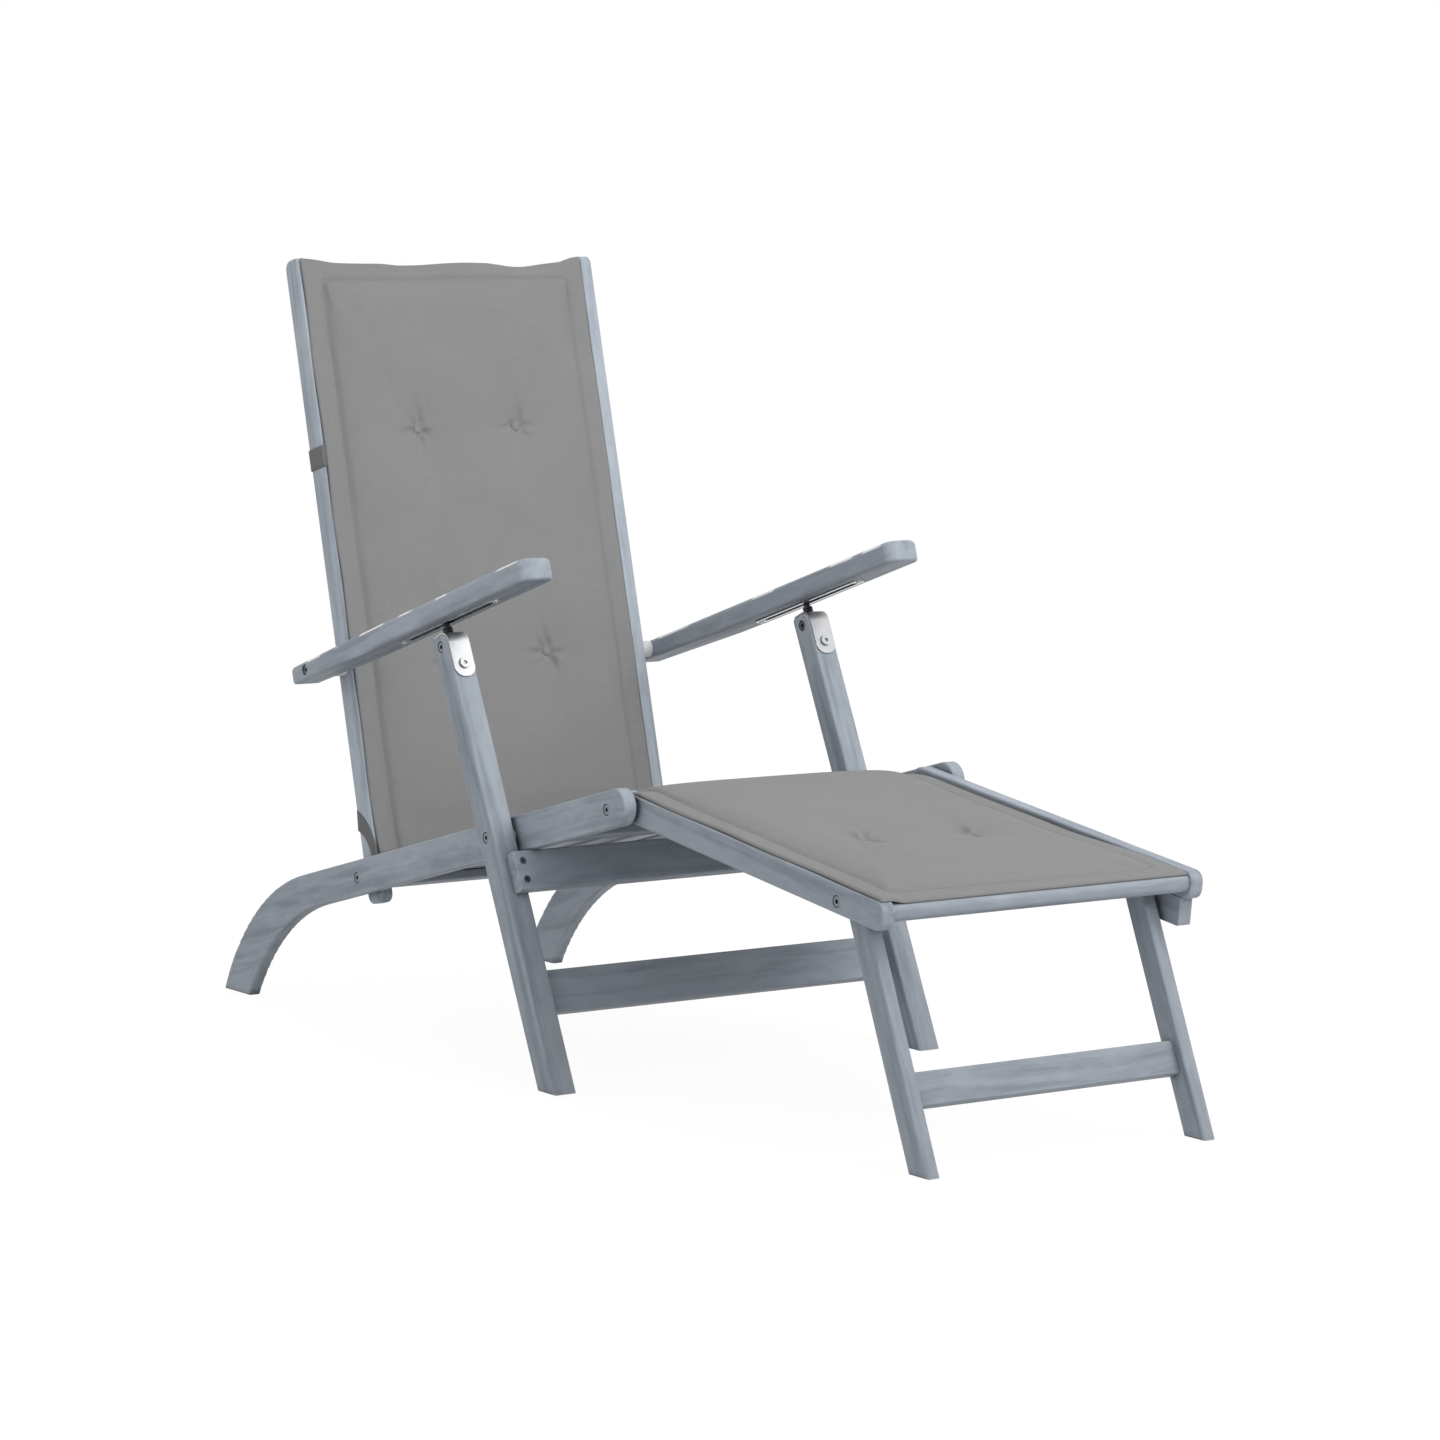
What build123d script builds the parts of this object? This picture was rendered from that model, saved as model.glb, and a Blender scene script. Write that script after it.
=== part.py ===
from build123d import *
import math
import os

# Folding wooden deck chair with a footrest and a tufted cushion, in millimetres.
# +X runs from the back to the feet, +Y to the sitter's left, +Z up.
# The origin is on the floor, at the middle of the chair's length and width.
os.makedirs("parts", exist_ok=True)

RIGHT, LEFT = -1, 1
SIDES = (("right", RIGHT), ("left", LEFT))

# Widths, counted across the chair. The boards of each side lie in layers.
leg_frame_width = 576.0
front_leg_thickness = 32.0
board_thickness = 18.0
layer_gap = 5.0
running_gap = 0.3
cut_overrun = 2.0
edge_round = 2.5
board_corner = 12.0
full_round_share = 0.49
round_limit_share = 0.3

# Pivots, with x from the front edge of the rear foot and z from the floor.
back_pivot_x = 303.0
back_pivot_z = 197.4
seat_slope = 14.2
back_to_leg_pivot = 402.5
back_to_footrest_pivot = 627.7

# Seat rails, each in one board with its curved rear leg.
seat_rail_height = 45.0
rail_past_footrest_pivot = 19.0
top_bend_before_pivot = 150.0
bottom_bend_before_pivot = 111.0
rear_foot_length = 70.0

# Seat slats and the two bars that carry them.
seat_slat_count = 8
slat_width = 36.0
seat_slat_side_gap = 26.0
seat_slat_thickness = 14.0
seat_bar_thickness = 12.0
seat_bar_width = 45.0
seat_bar_rear_start = 62.0
seat_bar_front_end = 545.0
seat_slat_start = 52.0
seat_slat_front_gap = 22.0

# Front legs with their apron and stretcher.
front_leg_tilt = 25.1
front_leg_depth = 35.0
leg_bolt_above_pivot = 250.0
leg_end_above_bolt = 14.5
leg_front_corner = 14.0
leg_rear_corner = 4.0
apron_height = 50.0
apron_thickness = 18.0
apron_top_below_pivot = 30.0
apron_end_inset = 12.0
leg_stretcher_height = 54.0
leg_stretcher_below_pivot = 174.0

# Steel cap over each front leg's top, with the pin that runs in the arm.
cap_thickness = 2.0
cap_width = 29.0
cap_drop = 46.0
cap_screw_drop = 29.0
cap_corner = 13.0
cap_seat_gap = 0.1
pin_radius = 4.0
pin_nut_radius = 6.5
pin_nut_height = 2.2
pin_nut_rises = (2.0, 5.6)
pin_above_leg = 25.0
pin_depth_in_leg = 9.0

# Back frame.
back_tilt = 14.4
stile_depth = 36.0
stile_above_pivot = 824.0
stile_below_pivot = 36.0
back_rail_height = 45.0
back_bottom_rail_rise = 62.0
back_top_rail_drop = 14.0
back_slat_count = 7
back_slat_side_gap = 30.0
back_slat_thickness = 12.0
back_slat_setback = 3.0

# Arms.
arm_pivot_rise = 277.0
arm_pivot_set_back = 1.5
arm_slope = 16.9
arm_thickness = 28.0
arm_above_pivot = 11.5
arm_width = 49.0
arm_rear_width = 37.5
arm_behind_pivot = 37.0
arm_ahead_of_pivot = 586.0
arm_full_width_share = 0.45
arm_rear_rise = 4.0
arm_rear_rise_length = 200.0
arm_corner = 16.0
arm_top_round = 7.0
arm_bottom_round = 4.0

# Steel track under each arm.
track_start = 237.0
track_length = 244.0
track_width = 19.0
track_thickness = 2.0
track_slot_width = 10.0
track_slot_inset = 12.0
track_screw_inset = 6.0
groove_depth = 19.0

# Footrest.
footrest_slope = 7.5
footrest_rail_height = 34.0
footrest_rail_rise = 4.0
footrest_rail_length = 536.0
footrest_nose_corner = 13.0
footrest_rear_round = 16.0
footrest_bar_width = 45.0
footrest_bar_start = 52.0
footrest_front_bar_width = 25.0
footrest_front_bar_height = 21.5
footrest_front_bar_drop = 4.0
footrest_front_bar_corner = 9.0
footrest_slat_count = 7
footrest_slat_side_gap = 30.0
footrest_slat_thickness = 12.0
footrest_slat_level = 8.0

# Footrest legs.
footrest_leg_pivot_set_back = 88.5
footrest_leg_pivot_level = 1.0
footrest_leg_tilt = 23.1
footrest_leg_depth = 33.0
footrest_stretcher_height = 40.0
footrest_stretcher_below_pivot = 203.0
footrest_stretcher_set_back = 12.0
stop_block_set_back = 17.0
stop_block_length = 50.0
stop_block_height = 34.0

# Bolts, washers and screws.
bolt_radius = 4.0
bolt_fit = 0.05
bolt_head_radius = 6.2
bolt_head_height = 4.0
bolt_recess_radius = 7.4
bolt_recess_depth = 5.0
bolt_socket_radius = 2.9
bolt_socket_depth = 2.4
washer_radius = 10.0
arm_spacer_radius = 11.0
screw_radius = 2.0
screw_fit = 0.1
screw_head_radius = 4.5
screw_head_height = 2.6
screw_length = 26.0
screw_from_apron_edge = 13.0
screw_from_leg_side = 9.0
cap_screw_head_radius = 6.5
cap_screw_head_height = 3.2
track_screw_radius = 1.6
track_screw_head_radius = 3.2
track_screw_head_height = 1.4
track_screw_length = 9.0

# Cushion: one sewn cover over a back pad, a seat pad and a foot pad.
cushion_right_gap = 5.0
cushion_left_gap = 24.0
flange_width = 29.0
flange_thickness = 5.0
pad_side_crown = 5.0
pad_middle_crown = 13.0
pad_draw_in = 4.0
pad_corner = 16.0
pad_body_gap = 2.0
pad_gap = 0.4
tuft_depth = 8.0
tuft_radius = 26.0
tuft_spacing = 152.0
back_pad_start = 66.0
back_pad_top_drop = 4.0
back_tuft_rises = (278.0, 586.0)
seat_pad_start = 44.0
seat_pad_end = 610.0
seat_pad_lift = 8.0
seat_tuft_share = 0.5
foot_pad_start = 22.0
foot_pad_end_gap = 6.0
foot_tuft_reach = 175.0
strap_width = 28.0
strap_thickness = 1.4
strap_rises = (92.0, 556.0)
strap_hold_share = 0.55


# Layers of boards, each given by the y of its middle.
leg_y = leg_frame_width / 2 - front_leg_thickness / 2
rail_y = leg_frame_width / 2 - front_leg_thickness - layer_gap - board_thickness / 2
stile_y = rail_y - board_thickness - layer_gap
foot_leg_y = stile_y - board_thickness - layer_gap
arm_inner_y = leg_y - arm_width / 2
rail_inner = rail_y - board_thickness / 2
rail_outer = rail_y + board_thickness / 2
stile_inner = stile_y - board_thickness / 2
stile_outer = stile_y + board_thickness / 2
cushion_width = 2 * rail_inner - cushion_right_gap - cushion_left_gap
cushion_shift = (cushion_right_gap - cushion_left_gap) / 2
footrest_leg_pivot_reach = footrest_rail_length - footrest_leg_pivot_set_back


def shifted(point, angle, along, across=0):
    turn = math.radians(angle)
    return (
        point[0] + along * math.cos(turn) - across * math.sin(turn),
        point[1] + along * math.sin(turn) + across * math.cos(turn),
    )


def slat_places(count, inner, side_gap):
    # The middles of equal slats between two side boards, with a gap at each side.
    pitch = (2 * (inner - side_gap) - slat_width) / (count - 1)
    return [(number - (count - 1) / 2) * pitch for number in range(count)]


# The five pivots in side view, and the ends of the chair that centre the origin.
back_pivot = (back_pivot_x, back_pivot_z)
leg_pivot = shifted(back_pivot, seat_slope, back_to_leg_pivot)
footrest_pivot = shifted(back_pivot, seat_slope, back_to_footrest_pivot)
back_angle = math.degrees(math.pi / 2) + back_tilt
arm_pivot = shifted(back_pivot, back_angle, arm_pivot_rise, arm_pivot_set_back)
foot_leg_pivot = shifted(
    footrest_pivot, -footrest_slope, footrest_leg_pivot_reach, footrest_leg_pivot_level
)
leg_angle = front_leg_tilt - math.degrees(math.pi / 2)
foot_leg_angle = footrest_leg_tilt - math.degrees(math.pi / 2)
foot_tilt = math.radians(footrest_leg_tilt)
front_tip_x = (
    foot_leg_pivot[0]
    + foot_leg_pivot[1] * math.tan(foot_tilt)
    + footrest_leg_depth / 2 / math.cos(foot_tilt)
)
middle_x = (front_tip_x - rear_foot_length) / 2


def side_plane(point, angle, y, facing=-1):
    # Side view: local x runs along the angle. Facing -1 puts local y to its left,
    # seen from the sitter's right, and facing 1 to its right.
    turn = math.radians(angle)
    return Plane(
        origin=(point[0] - middle_x, y, point[1]),
        x_dir=(math.cos(turn), 0, math.sin(turn)),
        z_dir=(0, facing, 0),
    )


def deck_plane(point, angle, rise=0):
    # A plane that lies on a sloping panel: local x along it, local y to the left.
    turn = math.radians(angle)
    return Plane(
        origin=(point[0] - middle_x, 0, point[1]),
        x_dir=(math.cos(turn), 0, math.sin(turn)),
        z_dir=(-math.sin(turn), 0, math.cos(turn)),
    ).offset(rise)


def round_side_edges(piece, thickness, radius=edge_round):
    flats = piece.faces().filter_by(Axis.Y)
    fillet(flats.edges(), min(radius, thickness * round_limit_share))


def board(label, plane, start, end, low, high, thickness, start_round=0, end_round=0):
    # A straight board in side view, with its own rounding at each end.
    with BuildPart() as piece:
        with BuildSketch(plane):
            with Locations(((start + end) / 2, (low + high) / 2)):
                Rectangle(end - start, high - low)
            if start_round:
                fillet(vertices().group_by(Axis.X)[0], start_round)
            if end_round:
                fillet(vertices().group_by(Axis.X)[-1], end_round)
        extrude(amount=thickness / 2, both=True)
        round_side_edges(piece, thickness)
    piece.part.label = label
    return piece.part


def bar(label, plane, start, end, low, high, width, corner=edge_round):
    # A board across the chair, drawn as its end grain and drawn out to both sides.
    with BuildPart() as piece:
        with BuildSketch(plane):
            with Locations(((start + end) / 2, (low + high) / 2)):
                Rectangle(end - start, high - low)
            fillet(vertices(), corner)
        extrude(amount=width / 2, both=True)
    piece.part.label = label
    return piece.part


def cylinder_cut(point, y_from, y_to, radius):
    # Cuts a round hole along Y between two places, in the part being built.
    with BuildSketch(side_plane(point, 0, y_from)) as hole:
        Circle(radius)
    extrude(hole.sketch, amount=y_from - y_to, mode=Mode.SUBTRACT)


def bored(part, cuts):
    # The same part with its holes: each cut is a point, two y places and a radius.
    with BuildPart() as piece:
        add(part)
        for point, y_from, y_to, radius in cuts:
            cylinder_cut(point, y_from, y_to, radius)
    piece.part.label = part.label
    return piece.part


def shaft_hole(point, side, middle_y, thickness):
    reach = thickness / 2 + cut_overrun
    return (
        point,
        side * (middle_y - reach),
        side * (middle_y + reach),
        bolt_radius + bolt_fit,
    )


def outer_recess(point, side, face_y, overrun=cut_overrun):
    return (
        point,
        side * (face_y - bolt_recess_depth),
        side * (face_y + overrun),
        bolt_recess_radius,
    )


def inner_recess(point, side, face_y):
    return (
        point,
        side * (face_y + bolt_recess_depth),
        side * (face_y - cut_overrun),
        bolt_recess_radius,
    )


def pivot_bolt(point, side, inner_y, outer_y):
    # A sleeve bolt with a flat socket head at each end, sunk in the two outer boards.
    head_out = outer_y - bolt_recess_depth + running_gap
    head_in = inner_y + bolt_recess_depth - running_gap
    with BuildSketch(side_plane(point, 0, side * head_in)) as shank:
        Circle(bolt_radius)
    extrude(shank.sketch, amount=side * (head_in - head_out))
    for start, outward in ((head_out, side), (head_in, -side)):
        with BuildSketch(side_plane(point, 0, side * start)) as head:
            Circle(bolt_head_radius)
        extrude(head.sketch, amount=-outward * bolt_head_height)
        socket_y = side * start + outward * (bolt_head_height - bolt_socket_depth)
        socket_reach = -outward * (bolt_socket_depth + cut_overrun)
        with BuildSketch(side_plane(point, 0, socket_y)) as socket:
            RegularPolygon(bolt_socket_radius, len("socket"))
        extrude(socket.sketch, amount=socket_reach, mode=Mode.SUBTRACT)


def bolts(label, point, inner_y, outer_y, sides=SIDES):
    with BuildPart() as piece:
        for name, side in sides:
            pivot_bolt(point, side, inner_y, outer_y)
    piece.part.label = label
    return piece.part


def washer(point, side, face_y, outward, radius=washer_radius, length=layer_gap - running_gap):
    # A ring that stands on a board's face and fills the gap to the next layer.
    with BuildSketch(side_plane(point, 0, side * face_y)) as ring:
        Circle(radius)
        Circle(bolt_radius + running_gap, mode=Mode.SUBTRACT)
    extrude(ring.sketch, amount=-side * outward * length)


def rail_point(along, across):
    return shifted(back_pivot, seat_slope, along, across)


def seat_rail(name, side):
    half = seat_rail_height / 2
    nose = back_to_footrest_pivot + rail_past_footrest_pivot
    slope = math.radians(seat_slope)
    backward = (-math.cos(slope), -math.sin(slope))
    top_bend = rail_point(-top_bend_before_pivot, half)
    bottom_bend = rail_point(-bottom_bend_before_pivot, -half)
    with BuildPart() as piece:
        with BuildSketch(side_plane((0, 0), 0, side * rail_y)):
            with BuildLine():
                Line(rail_point(nose, half), top_bend)
                TangentArc(top_bend, (-rear_foot_length, 0), tangent=backward)
                Line((-rear_foot_length, 0), (0, 0))
                TangentArc(bottom_bend, (0, 0), tangent=backward)
                Line(bottom_bend, rail_point(nose, -half))
                ThreePointArc(
                    rail_point(nose, -half), rail_point(nose + half, 0), rail_point(nose, half)
                )
            make_face()
        extrude(amount=board_thickness / 2, both=True)
        round_side_edges(piece, board_thickness)
    piece.part.label = "seat_rail_" + name
    return bored(
        piece.part,
        [
            shaft_hole(back_pivot, side, rail_y, board_thickness),
            shaft_hole(leg_pivot, side, rail_y, board_thickness),
            shaft_hole(footrest_pivot, side, rail_y, board_thickness),
            outer_recess(back_pivot, side, rail_outer),
            outer_recess(footrest_pivot, side, rail_outer),
            inner_recess(leg_pivot, side, rail_inner),
        ],
    )


def seat_parts():
    floor = seat_bar_thickness - seat_rail_height / 2
    plane = side_plane(back_pivot, seat_slope, 0)
    parts = [seat_rail(name, side) for name, side in SIDES]
    rear_end = seat_bar_rear_start + seat_bar_width
    front_start = seat_bar_front_end - seat_bar_width
    bar_low = floor - seat_bar_thickness
    span = 2 * rail_inner
    parts.append(bar("seat_rear_bar", plane, seat_bar_rear_start, rear_end, bar_low, floor, span))
    parts.append(bar("seat_front_bar", plane, front_start, seat_bar_front_end, bar_low, floor, span))
    slat_end = back_to_footrest_pivot - seat_slat_front_gap
    places = slat_places(seat_slat_count, rail_inner, seat_slat_side_gap)
    for number, middle in enumerate(places):
        slat_plane = side_plane(back_pivot, seat_slope, middle)
        top = floor + seat_slat_thickness
        label = "seat_slat_" + str(number + 1)
        parts.append(board(label, slat_plane, seat_slat_start, slat_end, floor, top, slat_width))
    with BuildPart() as washers:
        for name, side in SIDES:
            washer(leg_pivot, side, rail_outer, 1)
            washer(back_pivot, side, rail_inner, -1)
            washer(footrest_pivot, side, rail_inner, -1)
    washers.part.label = "pivot_washers"
    parts.append(washers.part)
    parts.append(bolts("leg_pivot_bolts", leg_pivot, rail_inner, leg_y + front_leg_thickness / 2))
    parts.append(bolts("footrest_pivot_bolts", footrest_pivot, stile_inner, rail_outer))
    parts.append(bolts("back_pivot_bolts", back_pivot, stile_inner, rail_outer))
    return parts


def leg_end(extra, rear, end):
    # The upper end of a front leg in side view, swollen to the top and to the front.
    start = -leg_bolt_above_pivot - leg_end_above_bolt - extra
    depth = rear + front_leg_depth / 2 + extra
    with BuildSketch() as outline:
        with Locations((start, -rear)):
            Rectangle(end - start, depth, align=(Align.MIN, Align.MIN))
        front_corner = vertices().group_by(Axis.X)[0].sort_by(Axis.Y)[-1]
        fillet(front_corner, leg_front_corner + extra)
    return outline.sketch


def front_leg(name, side):
    half = front_leg_depth / 2
    with BuildPart() as piece:
        with BuildSketch(side_plane(leg_pivot, leg_angle, side * leg_y)):
            add(leg_end(0, half, leg_frame_width))
            rear_corner = vertices().group_by(Axis.X)[0].sort_by(Axis.Y)[0]
            fillet(rear_corner, leg_rear_corner)
        extrude(amount=front_leg_thickness / 2, both=True)
        split(bisect_by=Plane.XY, keep=Keep.TOP)
        round_side_edges(piece, front_leg_thickness)
        with BuildSketch(pin_plane(side, -pin_depth_in_leg)):
            Circle(pin_radius + screw_fit)
        extrude(amount=leg_bolt_above_pivot, mode=Mode.SUBTRACT)
        with BuildSketch(cap_screw_plane(side, -screw_length)):
            Circle(screw_radius + screw_fit)
        extrude(amount=screw_length + cut_overrun, mode=Mode.SUBTRACT)
        for along in apron_screw_places:
            with BuildSketch(apron_screw_plane(side, along, -screw_length)):
                Circle(screw_radius + screw_fit)
            extrude(amount=screw_length, mode=Mode.SUBTRACT)
    piece.part.label = "front_leg_" + name
    outer = leg_y + front_leg_thickness / 2
    inner = leg_y - front_leg_thickness / 2
    return bored(
        piece.part,
        [
            shaft_hole(leg_pivot, side, leg_y, front_leg_thickness),
            outer_recess(leg_pivot, side, outer),
            shaft_hole(leg_top, side, leg_y, front_leg_thickness),
            outer_recess(leg_top, side, outer),
            inner_recess(leg_top, side, inner),
        ],
    )


def pin_plane(side, rise):
    # Square to the pin, which stands in the leg's end and carries on the leg's line.
    along = -leg_bolt_above_pivot - leg_end_above_bolt - rise
    base = shifted(leg_pivot, leg_angle, along)
    turn = math.radians(leg_angle)
    return Plane(
        origin=(base[0] - middle_x, side * leg_y, base[1]),
        x_dir=(0, 1, 0),
        z_dir=(-math.cos(turn), 0, -math.sin(turn)),
    )


def leg_face_plane(side, y, along, lift):
    # Square to the front leg's front face, at a distance down the leg from its pivot.
    base = shifted(leg_pivot, leg_angle, along, lift)
    turn = math.radians(leg_angle)
    return Plane(
        origin=(base[0] - middle_x, side * y, base[1]),
        x_dir=(0, 1, 0),
        z_dir=(-math.sin(turn), 0, math.cos(turn)),
    )


def cap_screw_plane(side, lift):
    along = cap_screw_drop - leg_bolt_above_pivot
    return leg_face_plane(side, leg_y, along, front_leg_depth / 2 + lift)


def apron_screw_plane(side, along, lift):
    return leg_face_plane(side, apron_screw_y, along, front_leg_depth / 2 + lift)


def leg_caps():
    rear = front_leg_depth / 2 - leg_rear_corner
    end = cap_drop - leg_bolt_above_pivot
    with BuildPart() as piece:
        for name, side in SIDES:
            with BuildSketch(side_plane(leg_pivot, leg_angle, side * leg_y)):
                add(leg_end(cap_seat_gap + cap_thickness, rear, end))
                add(
                    leg_end(cap_seat_gap, front_leg_depth, end + cut_overrun),
                    mode=Mode.SUBTRACT,
                )
            extrude(amount=cap_width / 2, both=True)
            with BuildSketch(pin_plane(side, 0)):
                Circle(pin_radius + screw_fit)
            extrude(amount=pin_above_leg, mode=Mode.SUBTRACT)
            with BuildSketch(cap_screw_plane(side, 0)):
                Circle(screw_radius + screw_fit)
            extrude(amount=front_leg_depth, mode=Mode.SUBTRACT)
        down = side_plane(leg_pivot, leg_angle, 0)
        corners = piece.edges().filter_by(Axis(down.origin, down.y_dir))
        lowest = corners.sort_by(Axis(down.origin, down.x_dir))[-len(SIDES) * 2:]
        fillet(lowest, cap_corner)
    piece.part.label = "leg_caps"
    return piece.part


def leg_pins():
    cap_top = cap_seat_gap + cap_thickness
    with BuildPart() as piece:
        for name, side in SIDES:
            with BuildSketch(pin_plane(side, running_gap - pin_depth_in_leg)):
                Circle(pin_radius)
            extrude(amount=pin_above_leg + pin_depth_in_leg - running_gap)
            for rise in pin_nut_rises:
                with BuildSketch(pin_plane(side, cap_top + rise)):
                    Circle(pin_nut_radius)
                extrude(amount=pin_nut_height)
    piece.part.label = "leg_pins"
    return piece.part


def socket_screw(plane, shank, length, head, head_height):
    # The plane lies on the face under the head, and its normal points out of it.
    with BuildSketch(plane) as stem:
        Circle(shank)
    extrude(stem.sketch, amount=-length)
    with BuildSketch(plane) as cap:
        Circle(head)
    extrude(cap.sketch, amount=head_height)
    with BuildSketch(plane.offset(head_height * socket_floor_share)) as socket:
        RegularPolygon(head * socket_share, len("socket"))
    extrude(socket.sketch, amount=head_height, mode=Mode.SUBTRACT)


def front_leg_parts():
    parts = [front_leg(name, side) for name, side in SIDES]
    plane = side_plane(leg_pivot, leg_angle, 0)
    half = front_leg_depth / 2
    apron_end = apron_top_below_pivot + apron_height
    with BuildPart() as apron:
        add(
            bar(
                "apron", plane, apron_top_below_pivot, apron_end, half, half + apron_thickness,
                leg_frame_width - 2 * apron_end_inset,
            )
        )
        for name, side in SIDES:
            for along in apron_screw_places:
                with BuildSketch(apron_screw_plane(side, along, 0)):
                    Circle(screw_radius + screw_fit)
                extrude(amount=apron_thickness, mode=Mode.SUBTRACT)
                seat = apron_thickness - screw_head_height - running_gap
                with BuildSketch(apron_screw_plane(side, along, seat)):
                    Circle(screw_head_radius + running_gap)
                extrude(amount=apron_thickness, mode=Mode.SUBTRACT)
    apron.part.label = "apron"
    parts.append(apron.part)
    stretcher_end = leg_stretcher_below_pivot + leg_stretcher_height
    parts.append(
        bar(
            "leg_stretcher", plane, leg_stretcher_below_pivot, stretcher_end,
            -half, board_thickness - half, leg_frame_width - 2 * front_leg_thickness,
        )
    )
    parts.append(leg_caps())
    parts.append(leg_pins())
    with BuildPart() as screws:
        for name, side in SIDES:
            for along in apron_screw_places:
                lift = apron_thickness - screw_head_height - running_gap
                socket_screw(
                    apron_screw_plane(side, along, lift),
                    screw_radius, screw_length, screw_head_radius, screw_head_height,
                )
    screws.part.label = "apron_screws"
    parts.append(screws.part)
    with BuildPart() as cap_screws:
        for name, side in SIDES:
            socket_screw(
                cap_screw_plane(side, cap_thickness + cap_seat_gap),
                screw_radius, screw_length - running_gap, cap_screw_head_radius, cap_screw_head_height,
            )
    cap_screws.part.label = "cap_screws"
    parts.append(cap_screws.part)
    inner, outer = leg_y - front_leg_thickness / 2, leg_y + front_leg_thickness / 2
    parts.append(bolts("cap_cross_bolts", leg_top, inner, outer))
    return parts


def back_plane(y=0):
    # Local x runs up the back from its pivot, and local y to the sitter.
    return side_plane(back_pivot, back_angle, y, facing=1)


def back_parts():
    parts = []
    half = stile_depth / 2
    for name, side in SIDES:
        stile = board(
            "back_stile_" + name, back_plane(side * stile_y), -stile_below_pivot,
            stile_above_pivot, -half, half, board_thickness, board_corner, board_corner,
        )
        holes = [
            shaft_hole(back_pivot, side, stile_y, board_thickness),
            shaft_hole(arm_pivot, side, stile_y, board_thickness),
            inner_recess(back_pivot, side, stile_inner),
            inner_recess(arm_pivot, side, stile_inner),
        ]
        parts.append(bored(stile, holes))
    middle = -back_slat_setback
    rail_low, rail_high = middle - board_thickness / 2, middle + board_thickness / 2
    bottom_end = back_bottom_rail_rise + back_rail_height
    top_end = stile_above_pivot - back_top_rail_drop
    top_start = top_end - back_rail_height
    span = 2 * stile_inner
    parts.append(
        bar(
            "back_bottom_rail", back_plane(), back_bottom_rail_rise, bottom_end,
            rail_low, rail_high, span,
        )
    )
    parts.append(bar("back_top_rail", back_plane(), top_start, top_end, rail_low, rail_high, span))
    slat_low = middle - back_slat_thickness / 2
    places = slat_places(back_slat_count, stile_inner, back_slat_side_gap)
    for number, y in enumerate(places):
        label = "back_slat_" + str(number + 1)
        slat_high = slat_low + back_slat_thickness
        parts.append(
            board(label, back_plane(y), bottom_end, top_start, slat_low, slat_high, slat_width)
        )
    with BuildPart() as spacers:
        for name, side in SIDES:
            length = arm_inner_y - stile_outer - running_gap
            washer(arm_pivot, side, stile_outer, 1, arm_spacer_radius, length)
    spacers.part.label = "arm_spacers"
    parts.append(spacers.part)
    return parts


def arm(name, side):
    under = arm_above_pivot - arm_thickness
    rear, front = -arm_behind_pivot, arm_ahead_of_pivot
    full = rear + (front - rear) * arm_full_width_share
    inner = side * arm_inner_y
    outer = inner + side * arm_width
    deck = deck_plane(arm_pivot, arm_slope, under)
    rise_end = rear + arm_rear_rise_length
    with BuildPart() as piece:
        with BuildSketch(side_plane(arm_pivot, arm_slope, inner)):
            with BuildLine():
                Polyline(
                    (rear, under + arm_rear_rise),
                    (rise_end, under),
                    (front, under),
                    (front, arm_above_pivot),
                    (rear, arm_above_pivot),
                    close=True,
                )
            make_face()
        extrude(amount=-side * arm_width)
        with BuildSketch(deck.offset(-cut_overrun)):
            with BuildLine():
                Polyline(
                    (full, outer),
                    (rear, inner + side * arm_rear_width),
                    (rear - cut_overrun, inner + side * arm_rear_width),
                    (rear - cut_overrun, outer + side * cut_overrun),
                    (full, outer + side * cut_overrun),
                    close=True,
                )
            make_face()
        extrude(amount=arm_thickness + 2 * cut_overrun, mode=Mode.SUBTRACT)
        lift = Axis(deck.origin, deck.z_dir)
        ahead = Axis(deck.origin, deck.x_dir)
        fillet(piece.edges().filter_by(lift).sort_by(ahead)[-2:], arm_corner)
        fillet(piece.faces().sort_by(lift)[-1].edges(), arm_top_round)
        under_faces = [f for f in piece.faces() if f.normal_at().dot(deck.z_dir) < -side_facing_share]
        rims = ShapeList(edge for face in under_faces for edge in face.edges())
        fold = [e for e in rims if abs(deck.to_local_coords(e.center()).X - rise_end) < cut_overrun]
        around = ShapeList(e for e in rims if not any(e.is_same(f) for f in fold))
        fillet(around, arm_bottom_round)
        with BuildSketch(deck):
            with Locations((track_start + track_length / 2, side * leg_y)):
                SlotOverall(track_length - 2 * track_slot_inset, track_slot_width + cut_overrun)
        extrude(amount=groove_depth, mode=Mode.SUBTRACT)
        with BuildSketch(deck):
            with Locations(*track_screw_places(side)):
                Circle(track_screw_radius + screw_fit)
        extrude(amount=track_screw_length, mode=Mode.SUBTRACT)
    piece.part.label = "arm_" + name
    middle = arm_inner_y + arm_rear_width / 2
    reach = arm_inner_y + arm_rear_width
    return bored(
        piece.part,
        [
            shaft_hole(arm_pivot, side, middle, arm_width),
            outer_recess(arm_pivot, side, reach, arm_width - arm_rear_width),
        ],
    )


def track_screw_places(side):
    return [
        (track_start + track_screw_inset, side * leg_y),
        (track_start + track_length - track_screw_inset, side * leg_y),
    ]


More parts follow.
